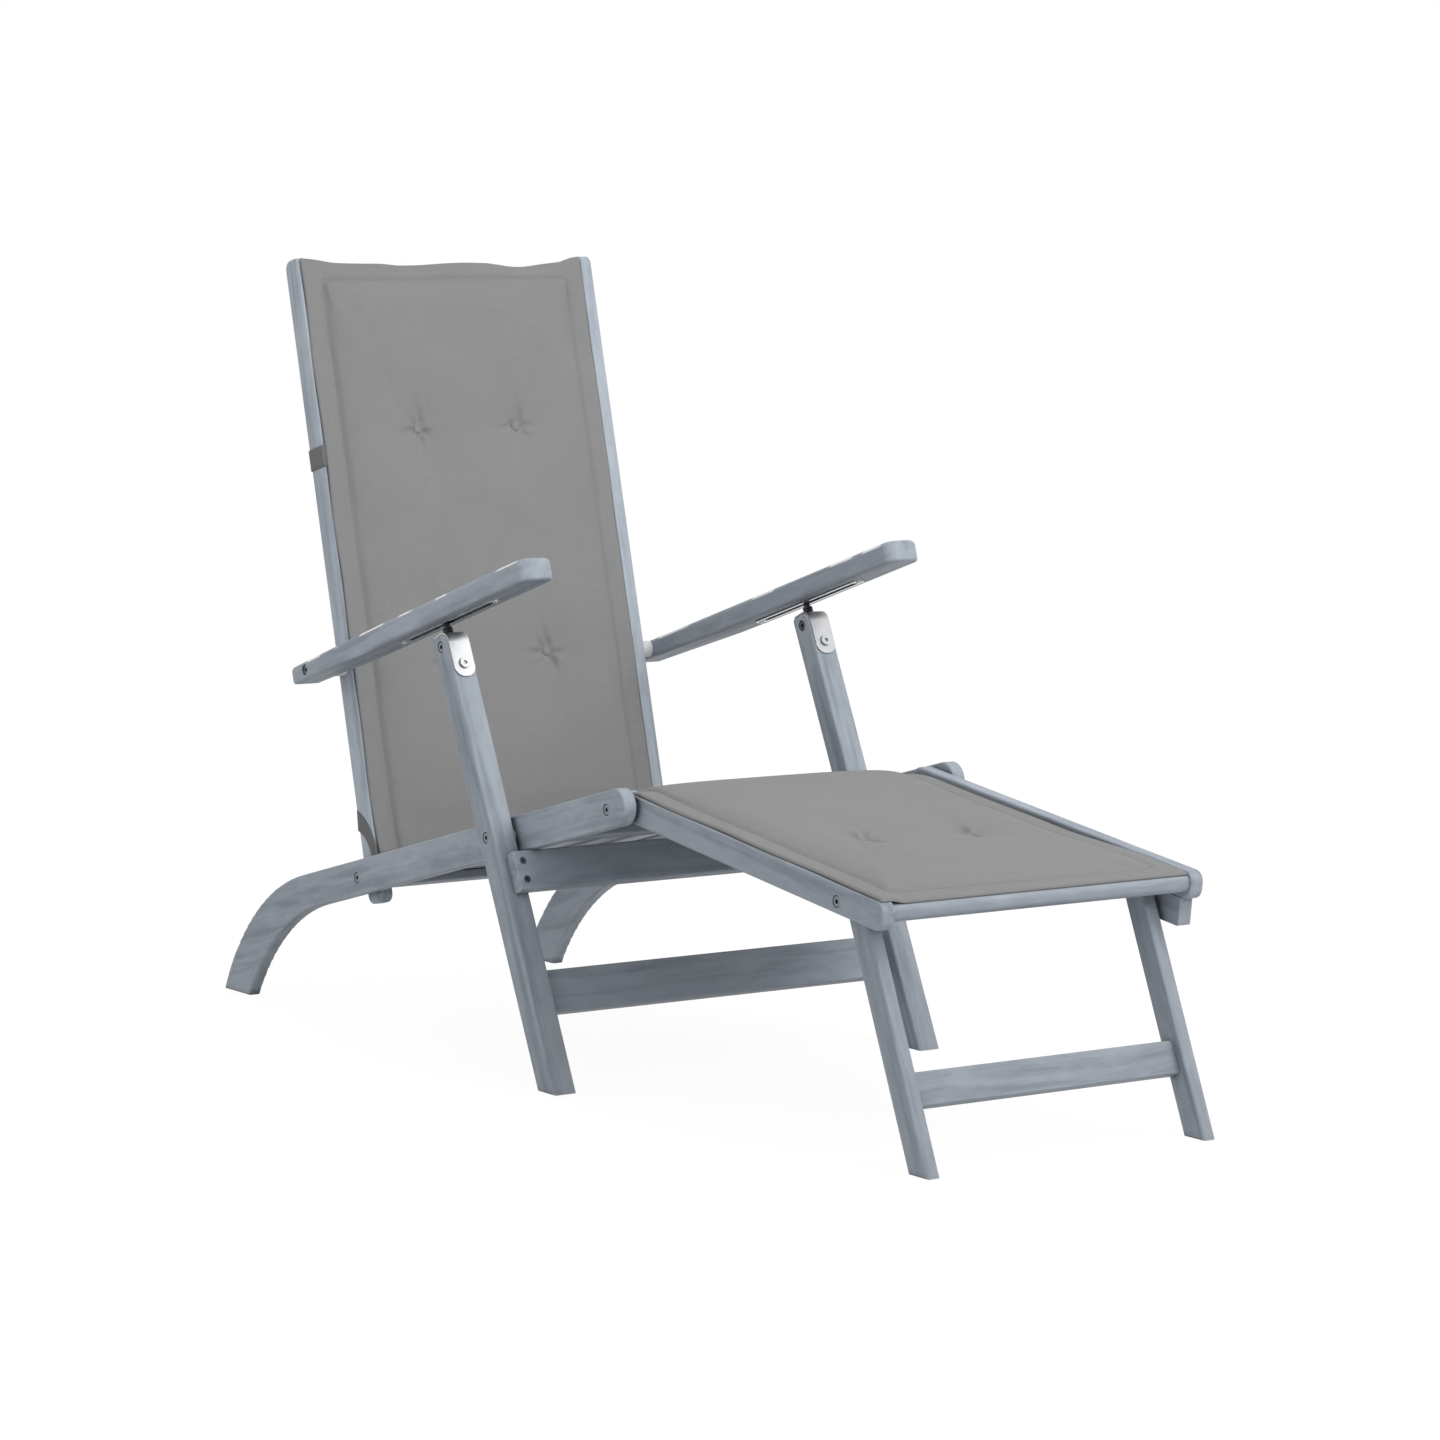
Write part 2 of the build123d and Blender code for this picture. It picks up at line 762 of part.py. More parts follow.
def arm_parts():
    parts = []
    under = arm_above_pivot - arm_thickness
    for name, side in SIDES:
        parts.append(arm(name, side))
        with BuildPart() as track:
            with BuildSketch(deck_plane(arm_pivot, arm_slope, under)):
                with Locations((track_start + track_length / 2, side * leg_y)):
                    SlotOverall(track_length, track_width)
                    SlotOverall(
                        track_length - 2 * track_slot_inset, track_slot_width, mode=Mode.SUBTRACT
                    )
                with Locations(*track_screw_places(side)):
                    Circle(track_screw_radius + screw_fit, mode=Mode.SUBTRACT)
            extrude(amount=-track_thickness)
        track.part.label = "arm_track_" + name
        parts.append(track.part)
        with BuildPart() as screws:
            for along, y in track_screw_places(side):
                level = under - track_thickness
                spot = deck_plane(arm_pivot, arm_slope, level)
                with BuildSketch(spot):
                    with Locations((along, y)):
                        Circle(track_screw_radius)
                extrude(amount=track_screw_length)
                with BuildSketch(spot):
                    with Locations((along, y)):
                        Circle(track_screw_head_radius)
                extrude(amount=-track_screw_head_height)
        screws.part.label = "arm_track_screws_" + name
        parts.append(screws.part)
        arm_outer = arm_inner_y + arm_rear_width
        parts.append(
            bolts("arm_bolt_" + name, arm_pivot, stile_inner, arm_outer, ((name, side),))
        )
    return parts


def footrest_plane(y=0):
    return side_plane(footrest_pivot, -footrest_slope, y)


def footrest_parts():
    parts = []
    low = footrest_rail_rise - footrest_rail_height / 2
    high = footrest_rail_rise + footrest_rail_height / 2
    for name, side in SIDES:
        rail = board(
            "footrest_rail_" + name, footrest_plane(side * stile_y), -footrest_rear_round,
            footrest_rail_length, low, high, board_thickness,
            footrest_rail_height * full_round_share, footrest_nose_corner,
        )
        holes = [
            shaft_hole(footrest_pivot, side, stile_y, board_thickness),
            shaft_hole(foot_leg_pivot, side, stile_y, board_thickness),
            inner_recess(footrest_pivot, side, stile_inner),
            outer_recess(foot_leg_pivot, side, stile_outer),
        ]
        parts.append(bored(rail, holes))
    slat_top = footrest_slat_level
    slat_low = slat_top - footrest_slat_thickness
    bar_end = footrest_bar_start + footrest_bar_width
    front_start = footrest_rail_length - footrest_front_bar_width - footrest_front_bar_drop
    span = 2 * stile_inner
    parts.append(
        bar("footrest_rear_bar", footrest_plane(), footrest_bar_start, bar_end, low, slat_top, span)
    )
    front_top = high - footrest_front_bar_drop
    with BuildPart() as front_bar:
        with BuildSketch(footrest_plane()):
            with Locations((front_start, front_top)):
                Rectangle(
                    footrest_front_bar_width, footrest_front_bar_height,
                    align=(Align.MIN, Align.MAX),
                )
            fillet(vertices().group_by(Axis.X)[-1], footrest_front_bar_corner)
        extrude(amount=stile_inner, both=True)
    front_bar.part.label = "footrest_front_bar"
    parts.append(front_bar.part)
    with BuildPart() as slats:
        for y in slat_places(footrest_slat_count, stile_inner, footrest_slat_side_gap):
            add(
                board(
                    "slat", footrest_plane(y), bar_end, front_start,
                    slat_low, slat_top, slat_width,
                )
            )
    slats.part.label = "footrest_slats"
    parts.append(slats.part)
    parts.append(stop_block(low))
    with BuildPart() as washers:
        for name, side in SIDES:
            washer(foot_leg_pivot, side, stile_inner, -1)
    washers.part.label = "footrest_leg_washers"
    parts.append(washers.part)
    inner = foot_leg_y - board_thickness / 2
    parts.append(bolts("footrest_leg_bolts", foot_leg_pivot, inner, stile_outer))
    return parts


def stop_block(top):
    # A short block fixed under the front end of the left rail, flush with both its sides.
    low = top - stop_block_height
    front = footrest_rail_length - stop_block_set_back
    with BuildPart() as piece:
        with BuildSketch(footrest_plane(stile_y)):
            with Locations((front - stop_block_length / 2, (top + low) / 2)):
                Rectangle(stop_block_length, stop_block_height)
            fillet(vertices().group_by(Axis.Y)[0], edge_round)
        extrude(amount=board_thickness / 2, both=True)
    piece.part.label = "stop_block"
    return piece.part


def footrest_leg_parts():
    parts = []
    half = footrest_leg_depth / 2
    for name, side in SIDES:
        with BuildPart() as leg:
            with BuildSketch(side_plane(foot_leg_pivot, foot_leg_angle, side * foot_leg_y)):
                with BuildLine():
                    Line((0, half), (footrest_rail_length, half))
                    Line((footrest_rail_length, half), (footrest_rail_length, -half))
                    Line((footrest_rail_length, -half), (0, -half))
                    ThreePointArc((0, -half), (-half, 0), (0, half))
                make_face()
            extrude(amount=board_thickness / 2, both=True)
            split(bisect_by=Plane.XY, keep=Keep.TOP)
            round_side_edges(leg, board_thickness)
        leg.part.label = "footrest_leg_" + name
        inner = foot_leg_y - board_thickness / 2
        holes = [
            shaft_hole(foot_leg_pivot, side, foot_leg_y, board_thickness),
            inner_recess(foot_leg_pivot, side, inner),
        ]
        parts.append(bored(leg.part, holes))
    end = footrest_stretcher_below_pivot + footrest_stretcher_height
    front = half - footrest_stretcher_set_back
    parts.append(
        bar(
            "footrest_stretcher", side_plane(foot_leg_pivot, foot_leg_angle, 0),
            footrest_stretcher_below_pivot, end, front - board_thickness, front,
            2 * foot_leg_y - board_thickness,
        )
    )
    return parts


def pillow_profile(start, end, low, edge, crown):
    # A closed profile with a flat underside and an arched top.
    with BuildLine() as outline:
        Line((start, low), (end, low))
        Line((end, low), (end, edge))
        ThreePointArc((end, edge), ((start + end) / 2, crown), (start, edge))
        Line((start, edge), (start, low))
    make_face(outline.edges())


def pad_outline(start, end, left, right, draw_in):
    # Corners stay out while the four sides pull in between them.
    along, across = (start + end) / 2, (left + right) / 2
    with BuildLine() as outline:
        ThreePointArc((start, right), (along, right + draw_in), (end, right))
        ThreePointArc((end, right), (end - draw_in, across), (end, left))
        ThreePointArc((end, left), (along, left - draw_in), (start, left))
        ThreePointArc((start, left), (start + draw_in, across), (start, right))
    make_face(outline.edges())
    fillet(vertices(), pad_corner)


def pad(label, deck, start, end, bed, seat, inner_half, shift, tufts):
    # The flange lies on the frame at seat height, and the filling sinks to the bed.
    right, left = shift - cushion_width / 2, shift + cushion_width / 2
    filling_start, filling_end = start + flange_width, end - flange_width
    filling_right, filling_left = right + flange_width, left - flange_width
    top_edge = seat + flange_thickness + pad_side_crown
    top_middle = seat + flange_thickness + pad_middle_crown
    body_right = max(filling_right, -inner_half + pad_body_gap)
    body_left = min(filling_left, inner_half - pad_body_gap)
    height = top_middle - bed + cut_overrun
    with BuildPart() as piece:
        with BuildSketch(deck.offset(bed)):
            pad_outline(filling_start, filling_end, filling_left, filling_right, pad_draw_in)
        extrude(amount=height)
        with BuildSketch(Plane(deck.origin, x_dir=deck.x_dir, z_dir=-deck.y_dir)):
            pillow_profile(filling_start, filling_end, bed, top_edge, top_middle)
        extrude(amount=cushion_width, both=True, mode=Mode.INTERSECT)
        with BuildSketch(Plane(deck.origin, x_dir=deck.y_dir, z_dir=deck.x_dir)):
            pillow_profile(filling_right, filling_left, bed, top_edge, top_middle)
        extrude(amount=end + cushion_width, both=True, mode=Mode.INTERSECT)
        with BuildSketch(deck.offset(bed - cut_overrun)):
            with Locations(((start + end) / 2, 0)):
                Rectangle(end - start, cushion_width * 2)
            with Locations(((start + end) / 2, (body_left + body_right) / 2)):
                Rectangle(end - start, body_left - body_right, mode=Mode.SUBTRACT)
        extrude(amount=seat - bed + cut_overrun, mode=Mode.SUBTRACT)
        with BuildSketch(deck.offset(seat)):
            pad_outline(start, end, left, right, pad_draw_in)
        extrude(amount=flange_thickness)
        ball = (tuft_radius * tuft_radius + tuft_depth * tuft_depth) / (2 * tuft_depth)
        for along, across in tufts:
            level = deck.offset(top_middle - tuft_depth + ball)
            with Locations(level.from_local_coords(Vector(along, across + shift, 0))):
                Sphere(ball, mode=Mode.SUBTRACT)
    piece.part.label = label
    return piece.part


def strap(rise):
    # An elastic band from the cushion's edge round the stiles and across behind them.
    half_width = stile_outer + running_gap
    half_depth = stile_depth / 2 + running_gap
    with BuildSketch(across_back(rise - strap_width / 2)) as band:
        Rectangle(2 * (half_width + strap_thickness), 2 * (half_depth + strap_thickness))
        Rectangle(2 * half_width, 2 * half_depth, mode=Mode.SUBTRACT)
        with Locations((0, half_depth)):
            Rectangle(
                2 * (half_width + strap_thickness) + cut_overrun,
                2 * half_depth * strap_hold_share, mode=Mode.SUBTRACT,
            )
    extrude(band.sketch, amount=strap_width)


def across_back(rise):
    # Square to the back at a distance above its pivot: local x to the left, y to the front.
    plane = back_plane()
    origin = plane.origin + plane.x_dir * rise
    return Plane(origin=origin, x_dir=(0, -1, 0), z_dir=plane.x_dir)


def cushion_parts():
    parts = []
    tuft_columns = (-tuft_spacing / 2, tuft_spacing / 2)
    # On the back's deck, local y runs to the sitter's right.
    back_deck = Plane(
        origin=back_plane().origin, x_dir=back_plane().x_dir, z_dir=back_plane().y_dir
    )
    back_bed = board_thickness / 2 - back_slat_setback + pad_gap
    parts.append(
        pad(
            "back_pad", back_deck, back_pad_start, stile_above_pivot - back_pad_top_drop,
            back_bed, stile_depth / 2 + pad_gap, stile_inner, -cushion_shift,
            [(rise, y) for rise in back_tuft_rises for y in tuft_columns],
        )
    )
    slat_top = seat_bar_thickness - seat_rail_height / 2 + seat_slat_thickness
    seat_middle = seat_pad_start + (seat_pad_end - seat_pad_start) * seat_tuft_share
    parts.append(
        pad(
            "seat_pad", deck_plane(back_pivot, seat_slope), seat_pad_start, seat_pad_end,
            slat_top + pad_gap, slat_top + seat_pad_lift, rail_inner, cushion_shift,
            [(seat_middle, y) for y in tuft_columns],
        )
    )
    rail_top = footrest_rail_rise + footrest_rail_height / 2
    parts.append(
        pad(
            "foot_pad", deck_plane(footrest_pivot, -footrest_slope), foot_pad_start,
            footrest_rail_length - foot_pad_end_gap, footrest_slat_level + pad_gap,
            rail_top + pad_gap, foot_leg_y - board_thickness / 2, cushion_shift,
            [(foot_tuft_reach, y) for y in tuft_columns],
        )
    )
    with BuildPart() as straps:
        for rise in strap_rises:
            strap(rise)
    straps.part.label = "back_straps"
    parts.append(straps.part)
    return parts


side_facing_share = 0.9
socket_share = 0.45
socket_floor_share = 0.4
leg_top = shifted(leg_pivot, leg_angle, -leg_bolt_above_pivot)
apron_screw_y = leg_y - front_leg_thickness / 2 + screw_from_leg_side
apron_screw_places = (
    apron_top_below_pivot + screw_from_apron_edge,
    apron_top_below_pivot + apron_height - screw_from_apron_edge,
)

all_parts = (
    seat_parts() + front_leg_parts() + back_parts() + arm_parts()
    + footrest_parts() + footrest_leg_parts() + cushion_parts()
)
for part in all_parts:
    export_step(part, "parts/" + part.label + ".step")
print(len(all_parts), "pieces, origin", round(middle_x, 3), "ahead of the rear foot's front edge")
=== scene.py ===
import math
import bpy
import numpy as np
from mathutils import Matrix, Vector


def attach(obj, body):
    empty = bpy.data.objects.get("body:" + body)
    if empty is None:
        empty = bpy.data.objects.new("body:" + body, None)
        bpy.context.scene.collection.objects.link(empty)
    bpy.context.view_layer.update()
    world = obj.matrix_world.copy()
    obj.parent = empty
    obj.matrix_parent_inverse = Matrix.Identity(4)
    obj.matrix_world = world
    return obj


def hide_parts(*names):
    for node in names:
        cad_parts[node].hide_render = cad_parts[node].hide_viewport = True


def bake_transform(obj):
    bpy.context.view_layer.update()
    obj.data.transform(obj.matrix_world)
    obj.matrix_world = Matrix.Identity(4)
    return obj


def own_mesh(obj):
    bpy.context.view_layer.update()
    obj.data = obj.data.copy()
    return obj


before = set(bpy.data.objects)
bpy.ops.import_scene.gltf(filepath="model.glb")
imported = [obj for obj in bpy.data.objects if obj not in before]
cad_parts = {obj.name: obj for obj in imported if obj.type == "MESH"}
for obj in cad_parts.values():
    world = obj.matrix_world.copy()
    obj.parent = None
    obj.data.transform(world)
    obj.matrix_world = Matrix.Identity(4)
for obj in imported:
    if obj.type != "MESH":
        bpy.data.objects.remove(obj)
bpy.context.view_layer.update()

# Folding deck chair with a tufted cushion, dressed around its CAD frame. Metres, +X to the feet.
scene = bpy.context.scene


# Helpers for node trees
def feed(tree, node, feeds):
    # Each socket gets a link from another node, or a plain value.
    for socket, value in feeds.items():
        if isinstance(value, bpy.types.NodeSocket):
            tree.links.new(value, node.inputs[socket])
        else:
            node.inputs[socket].default_value = value
    return node


def addNode(tree, kind, feeds=None, **settings):
    node = tree.nodes.new(kind)
    for key, value in settings.items():
        setattr(node, key, value)
    return feed(tree, node, feeds or {})


def mathNode(tree, operation, first, second=0.0, clamp=False):
    node = addNode(tree, "ShaderNodeMath", {0: first, 1: second}, operation=operation, use_clamp=clamp)
    return node.outputs[0]


def times(tree, first, second):
    return mathNode(tree, "MULTIPLY", first, second)


def plus(tree, first, second):
    return mathNode(tree, "ADD", first, second)


def vectorNode(tree, operation, first, second):
    node = addNode(tree, "ShaderNodeVectorMath", {0: first, 1: second}, operation=operation)
    return node.outputs["Value" if operation == "DOT_PRODUCT" else "Vector"]


def scaled(tree, vector, scale):
    return vectorNode(tree, "MULTIPLY", vector, scale)


def toned(tree, color, tone):
    return addNode(tree, "ShaderNodeVectorMath", {0: color, "Scale": tone}, operation="SCALE").outputs[0]


def combined(tree, x, y, z):
    return addNode(tree, "ShaderNodeCombineXYZ", {0: x, 1: y, 2: z}).outputs[0]


def noise(tree, vector, scale=1.0, detail=3.0, roughness=0.5):
    feeds = {"Vector": vector, "Scale": scale, "Detail": detail, "Roughness": roughness}
    return addNode(tree, "ShaderNodeTexNoise", feeds).outputs[0]


def ramp(tree, value, low, high, toLow=0.0, toHigh=1.0):
    feeds = {"Value": value, "From Min": low, "From Max": high, "To Min": toLow, "To Max": toHigh}
    return addNode(tree, "ShaderNodeMapRange", feeds, interpolation_type="SMOOTHSTEP").outputs[0]


def mixed(tree, factor, first, second):
    node = addNode(tree, "ShaderNodeMix", data_type="RGBA")
    return feed(tree, node, {0: factor, 6: first, 7: second}).outputs[2]


def newGroup(name, inputs, outputs):
    tree = bpy.data.node_groups.new(name, "ShaderNodeTree")
    for label, kind, default in inputs:
        socket = tree.interface.new_socket(name=label, in_out="INPUT", socket_type="NodeSocket" + kind)
        if default is not None:
            socket.default_value = default
    for label, kind in outputs:
        tree.interface.new_socket(name=label, in_out="OUTPUT", socket_type="NodeSocket" + kind)
    return tree, tree.nodes.new("NodeGroupInput").outputs, tree.nodes.new("NodeGroupOutput").inputs


def placeGroup(tree, group, feeds):
    node = tree.nodes.new("ShaderNodeGroup")
    node.node_tree = group
    return feed(tree, node, feeds).outputs


# Effects that more than one material uses
def makeEdgeWearAndHighlight():
    # Paler outside edges, partly rubbed wash and partly painted highlight where light catches them, from the
    # difference between the true and a rounded normal.
    inputs = [("Radius", "Float", 0.003), ("Breakup", "Float", 0.5), ("Vector", "Vector", None)]
    tree, given, out = newGroup("edgeWear", inputs, [("Mask", "Float")])
    rounded = addNode(tree, "ShaderNodeBevel", {"Radius": given["Radius"]}, samples=4).outputs[0]
    flat = addNode(tree, "ShaderNodeNewGeometry").outputs["True Normal"]
    edge = ramp(tree, vectorNode(tree, "DOT_PRODUCT", rounded, flat), 0.995, 0.86)
    patchy = ramp(tree, noise(tree, given["Vector"], 38.0, 4.0, 0.65), 0.42, 0.66)
    kept = mathNode(tree, "SUBTRACT", 1.0, times(tree, patchy, given["Breakup"]))
    tree.links.new(mathNode(tree, "MULTIPLY", edge, kept, clamp=True), out["Mask"])
    return tree


def makeWashedGrain():
    # Grey wash over wood: long soft streaks, cloudy patches of thicker wash, fine fibres and pores.
    inputs = [
        ("Vector", "Vector", None), ("Board", "Float", 0.0), ("Wash", "Color", (1, 1, 1, 1)),
        ("Bare", "Color", (0, 0, 0, 1)), ("Pale", "Color", (1, 1, 1, 1)), ("Streaks", "Float", 0.5),
    ]
    outputs = [("Color", "Color"), ("Roughness", "Float"), ("Height", "Float")]
    tree, given, out = newGroup("washedGrain", inputs, outputs)
    board, bare = given["Board"], given["Bare"]
    shift = combined(tree, times(tree, board, 7.3), times(tree, board, 3.1), board)
    place = vectorNode(tree, "ADD", given["Vector"], shift)
    drift = times(tree, noise(tree, scaled(tree, place, (2.2, 9.0, 9.0)), 1.0, 2.0), 3.2)
    sway = combined(tree, 0.0, drift, drift)
    bent = vectorNode(tree, "ADD", scaled(tree, place, (1.7, 58.0, 58.0)), sway)
    streaks = noise(tree, bent, 1.0, 4.0, 0.58)
    clouds = noise(tree, scaled(tree, place, (7.0, 17.0, 17.0)), 1.0, 3.0, 0.55)
    mottle = noise(tree, scaled(tree, place, (26.0, 90.0, 90.0)), 1.0, 4.0, 0.62)
    fibres = noise(tree, scaled(tree, place, (24.0, 760.0, 760.0)), 1.0, 2.0, 0.6)
    specks = noise(tree, scaled(tree, place, (60.0, 950.0, 950.0)), 1.0, 1.0, 0.5)
    pores = ramp(tree, specks, 0.66, 0.74)
    thin = times(tree, ramp(tree, streaks, 0.44, 0.66), given["Streaks"])
    color = mixed(tree, thin, given["Wash"], bare)
    color = mixed(tree, ramp(tree, clouds, 0.47, 0.72, 0.0, 0.42), color, given["Pale"])
    color = mixed(tree, ramp(tree, fibres, 0.5, 0.75, 0.0, 0.20), color, bare)
    color = mixed(tree, times(tree, pores, 0.35), color, bare)
    broad = noise(tree, scaled(tree, place, (0.9, 5.0, 5.0)), 1.0, 1.0)
    tone = ramp(tree, broad, 0.3, 0.7, 0.94, 1.06)
    tone = times(tree, tone, ramp(tree, mottle, 0.34, 0.66, 0.945, 1.06))
    thickWash = ramp(tree, clouds, 0.4, 0.75, 0.0, 0.10)
    rough = plus(tree, thickWash, ramp(tree, streaks, 0.3, 0.7, 0.44, 0.58))
    raised = plus(tree, times(tree, fibres, 0.5), times(tree, streaks, 0.7))
    tree.links.new(toned(tree, color, tone), out["Color"])
    tree.links.new(rough, out["Roughness"])
    tree.links.new(mathNode(tree, "SUBTRACT", raised, pores), out["Height"])
    return tree


def makePlainWeave():
    # Two crossing sets of threads, with uneven yarn and a faint mottle of dust and shade.
    inputs = [("Vector", "Vector", None), ("Thread", "Float", 0.0011), ("Uneven", "Float", 0.5)]
    tree, given, out = newGroup("plainWeave", inputs, [("Tone", "Float"), ("Height", "Float")])
    place = given["Vector"]
    count = mathNode(tree, "DIVIDE", math.pi, given["Thread"])
    parts = addNode(tree, "ShaderNodeSeparateXYZ", {0: place}).outputs
    along = mathNode(tree, "SINE", times(tree, parts[0], count))
    across = mathNode(tree, "SINE", times(tree, parts[1], count))
    checks = times(tree, along, across)
    warp = noise(tree, scaled(tree, place, (30.0, 900.0, 30.0)), 1.0, 2.0)
    weft = noise(tree, scaled(tree, place, (900.0, 30.0, 30.0)), 1.0, 2.0)
    yarn = plus(tree, warp, weft)
    mottle = ramp(tree, noise(tree, place, 9.0, 3.0, 0.6), 0.3, 0.7, -0.018, 0.018)
    tone = plus(tree, ramp(tree, yarn, 0.7, 1.3, 0.965, 1.035), mottle)
    tone = plus(tree, tone, times(tree, checks, 0.03))
    height = plus(tree, times(tree, checks, 0.5), times(tree, yarn, given["Uneven"]))
    tree.links.new(tone, out["Tone"])
    tree.links.new(height, out["Height"])
    return tree


def makeBrushed():
    # Fine lines along the metal, and smears that dull it here and there.
    outputs = [("Tone", "Float"), ("Roughness", "Float"), ("Height", "Float")]
    tree, given, out = newGroup("brushedSteel", [("Vector", "Vector", None), ("Fine", "Float", 1.0)], outputs)
    lines = noise(tree, scaled(tree, given["Vector"], (60.0, 2600.0, 60.0)), 1.0, 2.0, 0.6)
    smears = noise(tree, given["Vector"], 55.0, 3.0, 0.6)
    rough = plus(tree, ramp(tree, lines, 0.2, 0.8, 0.16, 0.30), ramp(tree, smears, 0.4, 0.8, 0.0, 0.12))
    tree.links.new(ramp(tree, smears, 0.3, 0.7, 0.9, 1.04), out["Tone"])
    tree.links.new(rough, out["Roughness"])
    tree.links.new(times(tree, lines, given["Fine"]), out["Height"])
    return tree


edgeWear, washedGrain = makeEdgeWearAndHighlight(), makeWashedGrain()
plainWeave, brushedSteel = makePlainWeave(), makeBrushed()
print("effects built")


# Materials
washedWood = {
    "wash": (0.330, 0.368, 0.420, 1), "bare": (0.212, 0.243, 0.286, 1), "pale": (0.440, 0.475, 0.520, 1),
    "streaks": 0.75, "wornAndLit": (0.60, 0.63, 0.66, 1), "edgeAmount": 0.5, "edgeRadius": 0.0028,
    "edgeBreakup": 0.75, "bump": 0.25, "grainDepth": 0.0004, "specular": 0.34, "paintedShadeReach": 0.014,
    "paintedShadeTone": 0.42, "paintedHighlight": (0.86, 0.87, 0.88, 1), "usualTone": 1.03,
}


def newMaterial(name, specular, sheen=0.0, sheenRoughness=0.5):
    material = bpy.data.materials.new(name)
    material.use_nodes = True
    tree = material.node_tree
    surface = tree.nodes["Principled BSDF"]
    surface.inputs["Specular IOR Level"].default_value = specular
    surface.inputs["Sheen Weight"].default_value = sheen
    surface.inputs["Sheen Roughness"].default_value = sheenRoughness
    return material, tree, surface


def bumped(tree, surface, height, strength, distance):
    bump = addNode(tree, "ShaderNodeBump", {"Height": height, "Strength": strength, "Distance": distance})
    tree.links.new(bump.outputs[0], surface.inputs["Normal"])


def paintedCreviceShade(tree, reach, tone):
    # Painted shade: darker where another surface is close by, in gaps, joints and the rims round the bolts.
    shade = addNode(tree, "ShaderNodeAmbientOcclusion", {"Distance": reach}, samples=6)
    return ramp(tree, shade.outputs["AO"], 0.25, 0.85, tone, 1.0)


def paintedEdgeHighlight(tree, place, slope):
    # Painted highlight: broken bright lines along the rounded upper edges, where they face the light.
    turn = math.radians(slope)
    facing = addNode(tree, "ShaderNodeNewGeometry").outputs["Normal"]
    up = vectorNode(tree, "DOT_PRODUCT", facing, (-math.sin(turn), 0, math.cos(turn)))
    line = times(tree, ramp(tree, up, 0.34, 0.50), ramp(tree, up, 0.95, 0.80))
    dashes = ramp(tree, noise(tree, scaled(tree, place, (15.0, 4.0, 4.0)), 1.0, 1.0), 0.50, 0.56)
    return times(tree, line, dashes)


def woodMaterial(name, slope, crosswise, boardWidth, tone):
    # The board's own place: x runs along the grain. Boards in one node differ by their place across.
    wood = washedWood
    material, tree, surface = newMaterial(name, wood["specular"])
    turn = (0, math.radians(slope), math.radians(90) if crosswise else 0)
    plain = addNode(tree, "ShaderNodeTexCoord").outputs["Object"]
    place = addNode(tree, "ShaderNodeMapping", {"Vector": plain, "Rotation": turn}).outputs[0]
    parts = addNode(tree, "ShaderNodeSeparateXYZ", {0: plain}).outputs
    row = mathNode(tree, "FLOOR", plus(tree, mathNode(tree, "DIVIDE", parts[1], boardWidth), 0.5))
    piece = addNode(tree, "ShaderNodeObjectInfo").outputs["Random"]
    board = plus(tree, times(tree, row, 0.618), piece)
    grain = placeGroup(tree, washedGrain, {
        "Vector": place, "Board": board, "Wash": wood["wash"], "Bare": wood["bare"],
        "Pale": wood["pale"], "Streaks": wood["streaks"],
    })
    edgeFeeds = {"Radius": wood["edgeRadius"], "Breakup": wood["edgeBreakup"], "Vector": place}
    edge = placeGroup(tree, edgeWear, edgeFeeds)
    # Outside edges paled: partly rubbed wash, partly a painted highlight.
    color = mixed(tree, times(tree, edge["Mask"], wood["edgeAmount"]), grain["Color"], wood["wornAndLit"])
    # The arms get a painted highlight along their rounded upper edges.
    if name == "woodArm":
        color = mixed(tree, paintedEdgeHighlight(tree, place, slope), color, wood["paintedHighlight"])
    # Painted shade in the gaps and joints, times the board's tone.
    shade = times(tree, paintedCreviceShade(tree, wood["paintedShadeReach"], wood["paintedShadeTone"]), tone)
    tree.links.new(toned(tree, color, shade), surface.inputs["Base Color"])
    tree.links.new(grain["Roughness"], surface.inputs["Roughness"])
    bumped(tree, surface, grain["Height"], wood["bump"], wood["grainDepth"])
    return material


def clothMaterial(name, color, thread, bump, sheen):
    material, tree, surface = newMaterial(name, 0.18, sheen, 0.45)
    place = addNode(tree, "ShaderNodeAttribute", attribute_name="clothPlace").outputs["Vector"]
    weave = placeGroup(tree, plainWeave, {"Vector": place, "Thread": thread, "Uneven": 0.6})
    tree.links.new(toned(tree, color, weave["Tone"]), surface.inputs["Base Color"])
    tree.links.new(ramp(tree, weave["Height"], -0.4, 1.4, 0.95, 0.82), surface.inputs["Roughness"])
    bumped(tree, surface, weave["Height"], bump, 0.0005)
    return material


def metalMaterial(name, color, fine, roughen=0.0):
    material, tree, surface = newMaterial(name, 0.5)
    place = addNode(tree, "ShaderNodeTexCoord").outputs["Object"]
    brushed = placeGroup(tree, brushedSteel, {"Vector": place, "Fine": fine})
    # Painted shade darkens the metal in its recesses.
    tone = times(tree, brushed["Tone"], paintedCreviceShade(tree, 0.004, 0.25))
    tree.links.new(toned(tree, color, tone), surface.inputs["Base Color"])
    tree.links.new(plus(tree, brushed["Roughness"], roughen), surface.inputs["Roughness"])
    surface.inputs["Metallic"].default_value = 1.0
    bumped(tree, surface, brushed["Height"], 0.12, 0.0002)
    return material


